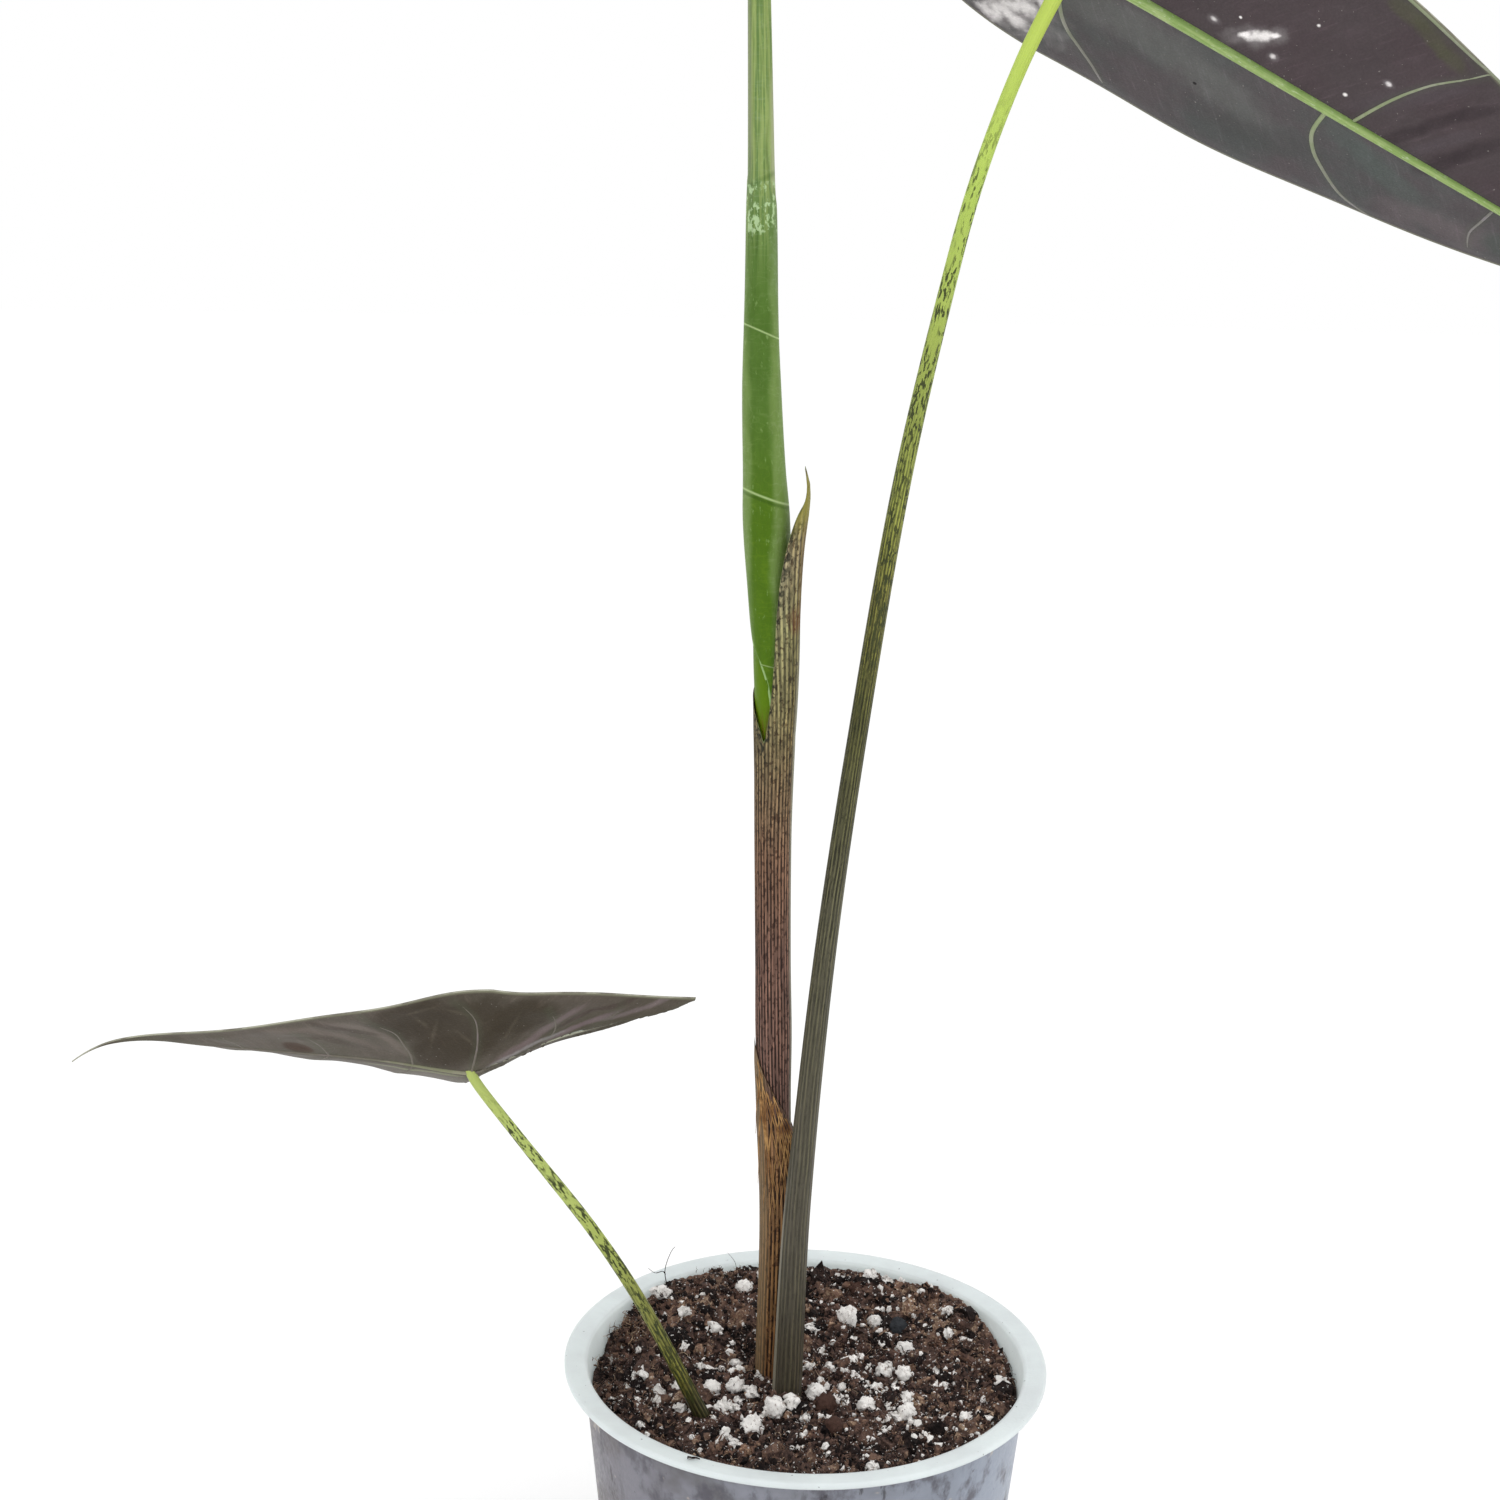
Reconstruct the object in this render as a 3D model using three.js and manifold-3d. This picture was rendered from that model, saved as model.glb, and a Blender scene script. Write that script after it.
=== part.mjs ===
// Potted Alocasia longiloba in a nursery pot: two arrow-shaped leaves and a rolled new leaf.
// Millimetres, +Z up, origin at the middle of the pot's base, +X right, +Y to the back.

import * as THREE from 'three';
import { mergeVertices } from 'three/addons/utils/BufferGeometryUtils.js';
import Module from 'manifold-3d';

const wasm = await Module();
wasm.setup();

// Pot
const POT_HEIGHT = 93;
const RIM_RADIUS = 52.5;
const RIM_WIDTH = 4;
const RIM_THICKNESS = 1.2;
const BASE_RADIUS = 39;
const WALL = 1;
const FLOOR = 1.4;
const DRAIN_HOLES = 8;
const DRAIN_RADIUS = 3;
const DRAIN_RING = 27;

// Room between pieces that touch
const CLEARANCE = 0.3;

// Soil
const SOIL_HEIGHT = 86.5;
const SOIL_HEAP = 4.5;
const SOIL_RELIEF = 1.3;
const SOIL_RINGS = 13;

// Leaves, placed where the petiole meets the midrib. Angles are in degrees: azimuth, dip and roll
// turn the whole blade, and fold and twist lift its halves. Arch, droop and rise are in lengths.
// A blade's far half is the one at its right, seen from above with the apex ahead.
const BLADE_THICKNESS = 0.7;
const BIG_LEAF = {
  junction: [44.4, -4.2, 383],
  azimuth: -6.2, dip: 28.5, roll: -42.2,
  length: 151, halfWidth: 30, lobe: 82, taper: 0.94,
  foldAtBase: 11.8, foldAtTip: 11.6, twist: 0,
  arch: -0.005, tipDroop: 0.02, lobeRise: 0.18, farLobe: 0, cup: 0.4, belly: 0.5, wave: 0.6,
  midribHeight: 1.5, veinHeight: 0.5,
  veins: [0.22, 0.42, 0.69, 0.985], lobeVeins: [0.3, 0.62],
};
const SMALL_LEAF = {
  junction: [-70.5, -14.4, 163.6],
  azimuth: 192, dip: -8.3, roll: 34,
  length: 78.5, halfWidth: 24.2, lobe: 44, taper: 1.6,
  foldAtBase: 19.7, foldAtTip: 11.4, twist: 11.8,
  arch: -0.02, tipDroop: 0.087, lobeRise: 0.22, farLobe: 6, cup: 1.7, belly: 3.8, wave: 0.4,
  midribHeight: 0.9, veinHeight: 0.35,
  veins: [0.35, 0.6, 0.84, 0.985], lobeVeins: [0.4],
};

// Blade outline from apex to lobe tip: along the midrib in lengths (ahead) or lobes (behind),
// and out from it in half widths. The seventh point is where the junction's own vein ends.
const MARGIN = [
  [1, 0.016], [0.93, 0.045], [0.84, 0.115], [0.7, 0.4], [0.5, 0.71], [0.3, 0.905],
  [0.1, 1], [-0.18, 0.98], [-0.45, 0.86], [-0.75, 0.7], [-1, 0.52],
];
const MARGIN_SPLIT = 0.6;
const LOBE_VEIN = [[0, 0], [-0.33, 0.2], [-0.68, 0.4], [-1, 0.5]];
const SINUS = [[-0.05, 0], [-0.28, 0.12], [-0.55, 0.29], [-0.8, 0.42], [-1, 0.49]];
const VEIN_LEAN = 0.1;

// Stems: points along the axis, and radii at even steps from the foot up
const STEM_FOOT = 58;
const BIG_PETIOLE_AXIS = [
  [-4.6, -5.9, STEM_FOOT], [-3.7, -5.6, 87], [-2.3, -5, 131], [1.8, -5, 185], [7.8, -5, 236],
  [14.8, -5, 284.6], [21.8, -5, 319.7], [27.3, -5, 342.3], [35.2, -5, 364.6], [44.6, -4.6, 384],
];
const BIG_PETIOLE_RADII = [2.7, 2.9, 2.65, 2.5, 2.3, 2.1, 1.95, 1.85, 1.7, 1.5, 1.4, 1.6];
const SMALL_PETIOLE_AXIS = [
  [-11.5, -9, STEM_FOOT + 2], [-22.5, -15, 87], [-35.5, -15, 112.6], [-45.4, -15, 128.3],
  [-60.3, -15, 148.1], [-69.8, -15, 161.1], [-71.4, -14.8, 164.4],
];
const SMALL_PETIOLE_RADII = [1.8, 2, 1.6, 1.4, 1.32, 1.25, 1.1, 1.05];
const SHOOT_AXIS = [
  [-7.2, 4.2, STEM_FOOT], [-6.9, 4.2, 90], [-6.6, 3, 125], [-8.2, 0.9, 163], [-9.3, -0.6, 208],
  [-9.6, -1.8, 238], [-11.7, -2.8, 272], [-13.4, -4.3, 303], [-14, -6, 335], [-15.1, -8, 374],
  [-18, -13, 460],
];

// Sheaths: outer radius by height, and top edge height by bearing
const SHEATH_WALL = 0.65;
const SHOOT_SHEATH_RADII = [
  [58, 2.9], [90, 2.9], [130, 3], [150, 3.3], [166, 3.8], [183, 3.7], [209, 3.8], [222, 4],
  [235, 4.3], [286, 4.4],
];
const SHOOT_SHEATH_TOP = [
  [0, 266], [15, 254], [45, 249], [90, 246], [180, 240], [225, 234], [240, 231.5], [255, 237],
  [270, 246], [285, 260], [300, 270], [315, 277], [330, 280.5], [345, 287], [360, 266],
];
const TIP_BEARING = 340;
const TIP_FLARE = [[232, 0], [248, 1.1], [256, 1.6], [266, 2.6], [272, 3.4], [282, 4.8], [287, 4.7]];
const OLD_SHEATH_TOP = [
  [0, 143], [90, 150], [140, 158], [180, 166], [225, 160], [270, 154], [315, 148], [360, 143],
];
const NEW_LEAF_RADII = [
  [58, 1.8], [130, 1.95], [165, 2.3], [205, 2.5], [225, 2.9], [238, 3.4], [250, 3.85], [262, 4.2],
  [276, 4.55], [286, 4.1], [302, 3.75], [313, 3.35], [330, 2.85], [353, 2.4], [375, 2.15],
  [402, 1.8], [428, 1.25], [455, 0.45],
];
const NEW_LEAF_SEAM = 0.45;

// Rhizome and roots under the soil
const RHIZOME_CENTRE = [-8, -3, 50];
const RHIZOME_RADII = [11.5, 12, 14];
const ROOTS = 6;
const ROOT_LENGTH = 26;
const ROOT_RADIUS = 1.3;

// Grains in the soil's surface: x, y, radius
const PERLITE = [
  [10.4, 23.4, 2.7], [16.6, 23.6, 1.9], [-13.6, 34.5, 2.3], [23, 14.1, 2.4], [17.7, 4.1, 1.9],
  [22, 2.1, 1.9], [10.3, 6.8, 2], [-20.2, -4.2, 2.1], [-17.9, -12.7, 1.9], [-15.2, -3.9, 1.9],
  [-6.6, -13.8, 2.7], [-11.4, -20.5, 2.6], [2.2, -5.8, 2.1], [13, -11, 2.3], [21.8, -13.7, 2.2],
  [34, -16.1, 1.6],
];
const CHARCOAL = [21.6, 20.5, 2.6];
const BARK = [[4.4, -11.6, 2.7], [5.8, -20.5, 2.6], [12.7, 35, 1.9]];

const COLOURS = {
  pot: '#ccd6d9', soil: '#3a2a24', rhizome: '#6b4a34', oldSheath: '#8c5d33', shootSheath: '#8a705c',
  newLeaf: '#5f9a38', petiole: '#7f8f4c', smallPetiole: '#93ad4a', blade: '#544a50',
  perlite: '#ebe3da', charcoal: '#454547', bark: '#4a2f28',
};

const radians = THREE.MathUtils.degToRad;

function material(colour, roughness, metalness = 0) {
  return new THREE.MeshStandardMaterial({ color: colour, roughness, metalness });
}

// A random draw in 0..1 that is the same on every run
function seededRandom(seed) {
  let state = seed;
  return () => {
    state = (state * 1664525 + 1013904223) % 4294967296;
    return state / 4294967296;
  };
}

// The value at a position between the [position, value] pairs of a list
function along(pairs, position) {
  const last = pairs.length - 1;
  if (position <= pairs[0][0]) return pairs[0][1];
  if (position >= pairs[last][0]) return pairs[last][1];
  const next = pairs.findIndex(([at]) => at > position);
  const [from, a] = pairs[next - 1];
  const [to, b] = pairs[next];
  return THREE.MathUtils.lerp(a, b, (position - from) / (to - from));
}

// A smooth curve through the points, with its foot lowered by an amount
function axisCurve(points, lower = 0) {
  const [[x, y, z], ...rest] = points;
  const places = [[x, y, z - lower], ...rest].map((p) => new THREE.Vector3(...p));
  return new THREE.CatmullRomCurve3(places, false, 'centripetal');
}

// Two directions square to a curve that don't twist along it
function sides(tangent) {
  const right = new THREE.Vector3(1, 0, 0).addScaledVector(tangent, -tangent.x).normalize();
  const back = new THREE.Vector3().crossVectors(tangent, right);
  return { right, back };
}

function pointBeside(curve, t, bearing, radius) {
  const { right, back } = sides(curve.getTangentAt(t));
  return curve.getPointAt(t)
    .addScaledVector(right, radius * Math.cos(bearing))
    .addScaledVector(back, radius * Math.sin(bearing));
}

// A closed round stalk: a cylinder bent along a curve, with its radius by place and bearing
function stalk(curve, radiusAt, around, steps) {
  const geometry = new THREE.CylinderGeometry(1, 1, 1, around, steps);
  const position = geometry.getAttribute('position');
  for (let i = 0; i < position.count; i += 1) {
    const t = position.getY(i) + 0.5;
    const x = position.getX(i);
    const y = -position.getZ(i);
    const bearing = Math.atan2(y, x);
    const radius = Math.hypot(x, y) * radiusAt(t, bearing);
    position.setXYZ(i, ...pointBeside(curve, t, bearing, radius));
  }
  return bare(geometry);
}

// The same geometry with positions only, and one vertex for each place
function bare(geometry) {
  const plain = new THREE.BufferGeometry();
  plain.setAttribute('position', geometry.getAttribute('position').clone());
  if (geometry.index) plain.setIndex(geometry.index.clone());
  return mergeVertices(plain, 1e-4);
}

function geometryOf(points, faces) {
  const geometry = new THREE.BufferGeometry();
  geometry.setAttribute('position', new THREE.Float32BufferAttribute(points.flatMap((p) => [...p]), 3));
  geometry.setIndex(faces.flat());
  return geometry;
}

function toManifold(geometry) {
  const merged = bare(geometry);
  const index = merged.index.array;
  const triangles = [];
  for (let i = 0; i < index.length; i += 3) {
    const [a, b, c] = [index[i], index[i + 1], index[i + 2]];
    if (a !== b && b !== c && c !== a) triangles.push(a, b, c);
  }
  const mesh = new wasm.Mesh({
    numProp: 3,
    vertProperties: new Float32Array(merged.getAttribute('position').array),
    triVerts: new Uint32Array(triangles),
  });
  return new wasm.Manifold(mesh);
}

function fromManifold(solid) {
  const mesh = solid.getMesh();
  const geometry = new THREE.BufferGeometry();
  geometry.setAttribute('position', new THREE.BufferAttribute(new Float32Array(mesh.vertProperties), 3));
  geometry.setIndex(new THREE.BufferAttribute(new Uint32Array(mesh.triVerts), 1));
  return geometry;
}

// The largest of the separate bodies in a solid
function largestBody(solid) {
  return solid.decompose().reduce((best, body) => (body.volume() > best.volume() ? body : best));
}

function cut(geometry, cutters) {
  const solid = cutters.reduce((rest, cutter) => rest.subtract(toManifold(cutter)), toManifold(geometry));
  return fromManifold(largestBody(solid));
}

function piece(name, geometry, look) {
  const mesh = new THREE.Mesh(bare(geometry), look);
  mesh.name = name;
  return mesh;
}

// Pot

function wallRadius(height) {
  const topRadius = RIM_RADIUS - RIM_WIDTH;
  return THREE.MathUtils.lerp(BASE_RADIUS, topRadius, height / POT_HEIGHT);
}

function potShell() {
  const profile = new THREE.Path();
  profile.moveTo(0, 0);
  profile.lineTo(BASE_RADIUS - 1.5, 0);
  profile.quadraticCurveTo(BASE_RADIUS, 0, wallRadius(1.5), 1.5);
  profile.lineTo(wallRadius(POT_HEIGHT - RIM_THICKNESS - 0.8), POT_HEIGHT - RIM_THICKNESS - 0.8);
  profile.lineTo(RIM_RADIUS - 0.8, POT_HEIGHT - RIM_THICKNESS - 0.6);
  profile.lineTo(RIM_RADIUS, POT_HEIGHT - RIM_THICKNESS);
  profile.lineTo(RIM_RADIUS, POT_HEIGHT - 0.3);
  profile.lineTo(RIM_RADIUS - 0.4, POT_HEIGHT);
  profile.lineTo(wallRadius(POT_HEIGHT) - WALL, POT_HEIGHT - 0.4);
  profile.lineTo(wallRadius(FLOOR) - WALL, FLOOR);
  profile.lineTo(0, FLOOR);
  return new THREE.LatheGeometry(profile.getPoints(2), 60);
}

function drainHole(number) {
  const bearing = (number / DRAIN_HOLES) * 2 * Math.PI;
  const hole = new THREE.CylinderGeometry(DRAIN_RADIUS, DRAIN_RADIUS, 4 * FLOOR, 12);
  hole.rotateX(Math.PI / 2);
  hole.translate(DRAIN_RING * Math.cos(bearing), DRAIN_RING * Math.sin(bearing), FLOOR / 2);
  return hole;
}

// A lathe turns about Y, so the pot and soil are stood up along Z
function upright(geometry) {
  return geometry.rotateX(Math.PI / 2);
}

function pot() {
  const holes = Array.from({ length: DRAIN_HOLES }, (_, number) => drainHole(number));
  return piece('pot', cut(upright(potShell()), holes), material(COLOURS.pot, 0.45));
}

// Soil surface

function soilRadius(height) {
  return wallRadius(height) - WALL - CLEARANCE - 0.1;
}

// Height of the soil at a place: heaped at the back, with rounded lumps that fade out at the wall
function soilTop(x, y) {
  const coarse = Math.sin(0.31 * x + 1.3 * Math.sin(0.19 * y)) * Math.cos(0.27 * y + Math.sin(0.23 * x));
  const fine = Math.sin(0.83 * x + 0.6) * Math.sin(0.77 * y + 0.9 * Math.sin(0.4 * x));
  const inside = Math.max(1 - (Math.hypot(x, y) / soilRadius(SOIL_HEIGHT)) ** 8, 0);
  const heap = SOIL_HEAP * THREE.MathUtils.smoothstep(y, 4, 40);
  return SOIL_HEIGHT + heap + SOIL_RELIEF * (0.6 * coarse + 0.4 * fine) * inside;
}

function soilBlock() {
  const top = soilRadius(SOIL_HEIGHT);
  const bottom = soilRadius(FLOOR + CLEARANCE);
  const profile = [new THREE.Vector2(0, FLOOR + CLEARANCE), new THREE.Vector2(bottom, FLOOR + CLEARANCE)];
  for (let ring = SOIL_RINGS; ring >= 0; ring -= 1) {
    profile.push(new THREE.Vector2((top * ring) / SOIL_RINGS, SOIL_HEIGHT));
  }
  const geometry = upright(new THREE.LatheGeometry(profile, 44));
  const position = geometry.getAttribute('position');
  for (let i = 0; i < position.count; i += 1) {
    const [x, y, z] = [position.getX(i), position.getY(i), position.getZ(i)];
    if (z > SOIL_HEIGHT - 1) position.setZ(i, soilTop(x, y));
  }
  return geometry;
}

function soil(hollows) {
  return piece('soil', cut(soilBlock(), hollows), material(COLOURS.soil, 1));
}

// An angular grain half sunk in the soil, or the pocket that it lies in when grown
function grain([x, y, radius], number, grow = 0) {
  const random = seededRandom(number * 7919 + 13);
  const geometry = bare(new THREE.IcosahedronGeometry(1, 0));
  const position = geometry.getAttribute('position');
  for (let i = 0; i < position.count; i += 1) {
    const reach = radius * (0.85 + 0.3 * random()) + grow;
    position.setXYZ(i, position.getX(i) * reach, position.getY(i) * reach, position.getZ(i) * reach);
  }
  geometry.rotateX(random() * Math.PI);
  geometry.rotateY(random() * Math.PI);
  geometry.translate(x, y, soilTop(x, y) + radius * 0.2);
  return geometry;
}

function grains() {
  const kinds = [
    { name: 'perlite', places: PERLITE, look: material(COLOURS.perlite, 0.9), seed: 1 },
    { name: 'charcoal', places: [CHARCOAL], look: material(COLOURS.charcoal, 0.8), seed: 101 },
    { name: 'bark', places: BARK, look: material(COLOURS.bark, 0.95), seed: 201 },
  ];
  const pieces = [];
  const pockets = [];
  for (const { name, places, look, seed } of kinds) {
    places.forEach((place, number) => {
      pieces.push(piece(`${name}_${String(number + 1).padStart(2, '0')}`, grain(place, seed + number), look));
      pockets.push(grain(place, seed + number, CLEARANCE * 1.3));
    });
  }
  return { pieces, pockets };
}

// Stems

function evenRadii(radii, grow = 0) {
  const pairs = radii.map((radius, i) => [i / (radii.length - 1), radius + grow]);
  return (t) => along(pairs, t);
}

// The thin wing that a petiole's old sheath leaves along its left side
function wing(t, bearing) {
  const onSide = Math.max(0, Math.cos(bearing - Math.PI)) ** 12;
  return 0.5 * onSide * THREE.MathUtils.smoothstep(0.3 - t, 0, 0.12);
}

function bigPetioleStalk(grow = 0) {
  const radius = evenRadii(BIG_PETIOLE_RADII, grow);
  const curve = axisCurve(BIG_PETIOLE_AXIS, grow);
  return stalk(curve, (t, bearing) => radius(t) + wing(t, bearing), 12, 30);
}

function smallPetioleStalk(grow = 0) {
  const radius = evenRadii(SMALL_PETIOLE_RADII, grow);
  return stalk(axisCurve(SMALL_PETIOLE_AXIS, grow), radius, 10, 22);
}

// Sheaths and the rolled leaf follow the shoot's axis by height

const shootCurve = axisCurve(SHOOT_AXIS);

function shootT(height) {
  let [low, high] = [0, 1];
  for (let i = 0; i < 30; i += 1) {
    const middle = (low + high) / 2;
    if (shootCurve.getPointAt(middle).z < height) low = middle;
    else high = middle;
  }
  return low;
}

// A tube of thin wall whose top edge rises and falls with the bearing
function sheath(foot, topAt, outerAt, columns, rows) {
  const points = [];
  const faces = [];
  const at = (wall, row, column) => (wall * (rows + 1) + row) * columns + (column % columns);
  for (const inward of [0, SHEATH_WALL]) {
    for (let row = 0; row <= rows; row += 1) {
      for (let column = 0; column < columns; column += 1) {
        const bearing = (column / columns) * 360;
        const height = THREE.MathUtils.lerp(foot, topAt(bearing), (row / rows) ** 0.75);
        const radius = outerAt(height, bearing) - inward;
        points.push(pointBeside(shootCurve, shootT(height), radians(bearing), radius));
      }
    }
  }
  for (let column = 0; column < columns; column += 1) {
    for (let row = 0; row < rows; row += 1) {
      const corners = [[row, column], [row, column + 1], [row + 1, column + 1], [row + 1, column]];
      faces.push(...quad(...corners.map(([r, c]) => at(0, r, c))));
      faces.push(...quad(...corners.map(([r, c]) => at(1, r, c)).reverse()));
    }
    const next = column + 1;
    faces.push(...quad(at(1, 0, column), at(1, 0, next), at(0, 0, next), at(0, 0, column)));
    faces.push(...quad(at(0, rows, column), at(0, rows, next), at(1, rows, next), at(1, rows, column)));
  }
  return geometryOf(points, faces);
}

function quad(a, b, c, d) {
  return [[a, b, c], [a, c, d]];
}

function shootSheath() {
  const outer = (height, bearing) => {
    const towardsTip = (1 + Math.cos(radians(bearing - TIP_BEARING))) / 2;
    return along(SHOOT_SHEATH_RADII, height) + along(TIP_FLARE, height) * towardsTip ** 1.5;
  };
  return sheath(STEM_FOOT, (bearing) => along(SHOOT_SHEATH_TOP, bearing), outer, 24, 16);
}

function oldSheathOuter(height) {
  return along(SHOOT_SHEATH_RADII, height) + CLEARANCE + SHEATH_WALL;
}

function oldSheath() {
  return sheath(STEM_FOOT, (bearing) => along(OLD_SHEATH_TOP, bearing), oldSheathOuter, 20, 8);
}

// The rolled blade is a slim spindle whose outer turn ends in an edge that winds slowly round it
function newLeaf() {
  const radiusAt = (t, bearing) => {
    const height = shootCurve.getPointAt(t).z;
    const rolled = THREE.MathUtils.smoothstep(height, 226, 250);
    const turn = (bearing / (2 * Math.PI) + (height - 240) / 260 + 2.62) % 1;
    return along(NEW_LEAF_RADII, height) * (1.03 - NEW_LEAF_SEAM * 0.25 * rolled * turn);
  };
  return stalk(shootCurve, radiusAt, 16, 40);
}

// Blades

// The plan's rows run from the middle to the margin, each at its place from 0 at the apex to 1 at
// the lobe's tip. Each side vein has a row on its crest and one on either flank.
function bladeRows({ veins, lobeVeins }) {
  const half = 0.012;
  const ahead = Array.from({ length: 13 }, (_, i) => (MARGIN_SPLIT * i) / 12);
  const behind = Array.from({ length: 7 }, (_, i) => MARGIN_SPLIT + ((1 - MARGIN_SPLIT) * (i + 1)) / 7);
  const ridges = veins.map((v) => v * MARGIN_SPLIT)
    .concat(lobeVeins.map((v) => MARGIN_SPLIT + v * (1 - MARGIN_SPLIT)));
  const far = (row) => ridges.every((ridge) => Math.abs(row - ridge) > 1.6 * half);
  const flanks = ridges.flatMap((ridge) => [ridge - half, ridge, ridge + half]);
  const fixed = [0, MARGIN_SPLIT, 1];
  const rows = [...ahead, ...behind].filter((row) => far(row) || fixed.includes(row));
  const clear = flanks.filter((row) => Math.abs(row - MARGIN_SPLIT) > 0.004);
  return { rows: [...rows, ...clear].sort((a, b) => a - b), ridges };
}

function outlineCurve(points, { length, halfWidth, lobe, taper }) {
  const scaled = points.map(([x, y]) => {
    if (x > 0) return new THREE.Vector2(x * length, y ** taper * halfWidth);
    return new THREE.Vector2(x * lobe, y * halfWidth);
  });
  return new THREE.SplineCurve(scaled);
}

// A flat plan of the blade: points with a rib height, and faces, both halves
function bladePlan(leaf) {
  const margin = outlineCurve(MARGIN, leaf);
  const lobeVein = outlineCurve(LOBE_VEIN, leaf);
  const sinus = outlineCurve(SINUS, leaf);
  const { rows, ridges } = bladeRows(leaf);
  const columns = [0, 0.022, 0.05, 0.22, 0.42, 0.62, 0.82, 1];
  const strip = [0, 0.12, 0.55, 1];
  const plan = { points: [], faces: [], seen: new Map() };

  const add = (x, y, rib) => {
    const key = `${x.toFixed(5)},${y.toFixed(5)}`;
    if (!plan.seen.has(key)) {
      plan.seen.set(key, plan.points.length);
      plan.points.push({ x, y, rib });
    }
    return plan.seen.get(key);
  };
  const middle = (row) => {
    if (row >= MARGIN_SPLIT) return lobeVein.getPoint((row - MARGIN_SPLIT) / (1 - MARGIN_SPLIT));
    const lean = VEIN_LEAN * leaf.length * Math.sin((row / MARGIN_SPLIT) * (Math.PI / 2));
    return new THREE.Vector2(margin.getPoint(row).x - lean, 0);
  };
  const crest = (column) => [1, 0.82, 0][columns.indexOf(column)] ?? 0;
  const ribAt = (row, column) => {
    const taper = row < MARGIN_SPLIT ? 0.25 + (0.75 * row) / MARGIN_SPLIT : 1.3 - 0.9 * row;
    const nearest = Math.min(...ridges.map((ridge) => Math.abs(ridge - row)));
    const lateral = nearest < 0.001 ? leaf.veinHeight * (1 - 0.8 * column) : 0;
    return Math.max(leaf.midribHeight * taper * crest(column), column < 1 ? lateral : 0);
  };
  const facet = (side, a, b, c, d) => {
    const faces = quad(a, b, c, d);
    plan.faces.push(...faces.map((face) => (side > 0 ? face : [...face].reverse())));
  };

  for (const side of [1, -1]) {
    const outer = rows.map((row) => columns.map((column) => {
      const place = middle(row).lerp(margin.getPoint(row), column);
      return add(place.x, side * place.y, ribAt(row, column));
    }));
    for (let r = 0; r < rows.length - 1; r += 1) {
      for (let c = 0; c < columns.length - 1; c += 1) {
        facet(side, outer[r][c], outer[r][c + 1], outer[r + 1][c + 1], outer[r + 1][c]);
      }
    }
    const lobeRows = rows.filter((row) => row >= MARGIN_SPLIT);
    const inner = lobeRows.map((row) => strip.map((column) => {
      const place = middle(row).lerp(sinus.getPoint((row - MARGIN_SPLIT) / (1 - MARGIN_SPLIT)), column);
      return add(place.x, side * place.y, column === 0 ? ribAt(row, 0) : 0);
    }));
    for (let r = 0; r < lobeRows.length - 1; r += 1) {
      for (let c = 0; c < strip.length - 1; c += 1) {
        facet(side, inner[r][c + 1], inner[r][c], inner[r + 1][c], inner[r + 1][c + 1]);
      }
    }
  }
  return plan;
}

// Height of the blade's upper face above its flat plan
function bladeHeight(leaf, x, y) {
  const ahead = THREE.MathUtils.clamp(x / leaf.length, 0, 1);
  const behind = Math.max(-x / leaf.lobe, 0);
  const outward = Math.sin((ahead * Math.PI) / 2);
  const twist = y > 0 ? -leaf.twist : leaf.twist;
  const fold = THREE.MathUtils.lerp(leaf.foldAtBase, leaf.foldAtTip + twist, outward);
  const out = Math.abs(y);
  const soft = out - 1.2 * (1 - Math.exp(-out / 1.2));
  const droop = leaf.tipDroop * leaf.length * THREE.MathUtils.clamp((ahead - 0.7) / 0.3, 0, 1) ** 2;
  const arch = leaf.arch * leaf.length * (ahead - ahead * ahead);
  const rise = leaf.lobeRise * leaf.lobe * behind ** 1.4 + (y < 0 ? leaf.farLobe * behind ** 1.5 : 0);
  const cup = leaf.cup * (1 - Math.exp(-(x * x + y * y) / 200));
  const across = THREE.MathUtils.clamp(out / (0.8 * leaf.halfWidth), 0, 1);
  const fullest = THREE.MathUtils.smoothstep(x, -12, 4) * (1 - ahead) ** 1.2;
  const belly = y < 0 ? leaf.belly * Math.sin(Math.PI * across) * fullest : 0;
  const wave = leaf.wave * (out / leaf.halfWidth) ** 2 * Math.sin((x / leaf.length) * 17 + (y > 0 ? 0 : 2));
  return soft * Math.tan(radians(fold)) + arch - droop + rise + cup - belly + wave;
}

// The closed blade: upper face, lower face with its ribs, and the thin edge between them
function bladeSolid(leaf, above = 0, below = 0) {
  const { points, faces } = bladePlan(leaf);
  const count = points.length;
  const top = points.map(({ x, y }) => new THREE.Vector3(x, y, bladeHeight(leaf, x, y) + above));
  const bottom = points.map(({ x, y, rib }) => new THREE.Vector3(
    x, y, bladeHeight(leaf, x, y) - BLADE_THICKNESS - rib - below,
  ));
  const upper = faces;
  const lower = faces.map(([a, b, c]) => [c + count, b + count, a + count]);
  const used = new Set(upper.flatMap(([a, b, c]) => [`${a},${b}`, `${b},${c}`, `${c},${a}`]));
  const edge = [];
  for (const key of used) {
    const [a, b] = key.split(',').map(Number);
    if (!used.has(`${b},${a}`)) edge.push([b, a, a + count], [b, a + count, b + count]);
  }
  return geometryOf([...top, ...bottom], [...upper, ...lower, ...edge]);
}

function placeLeaf(object, { junction, azimuth, dip, roll }) {
  object.position.set(...junction);
  object.rotation.set(radians(roll), radians(dip), radians(azimuth), 'ZYX');
  object.updateMatrix();
  return object;
}

// The space that a blade takes, with clearance below it, for fitting the petiole's end
function bladeSpace(leaf) {
  const space = placeLeaf(new THREE.Object3D(), leaf);
  return bladeSolid(leaf, 8, CLEARANCE).applyMatrix4(space.matrix);
}

// A petiole ends just below its blade
function petiole(name, whole, leaf, colour) {
  return piece(name, cut(whole, [bladeSpace(leaf)]), material(colour, 0.5));
}

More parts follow.
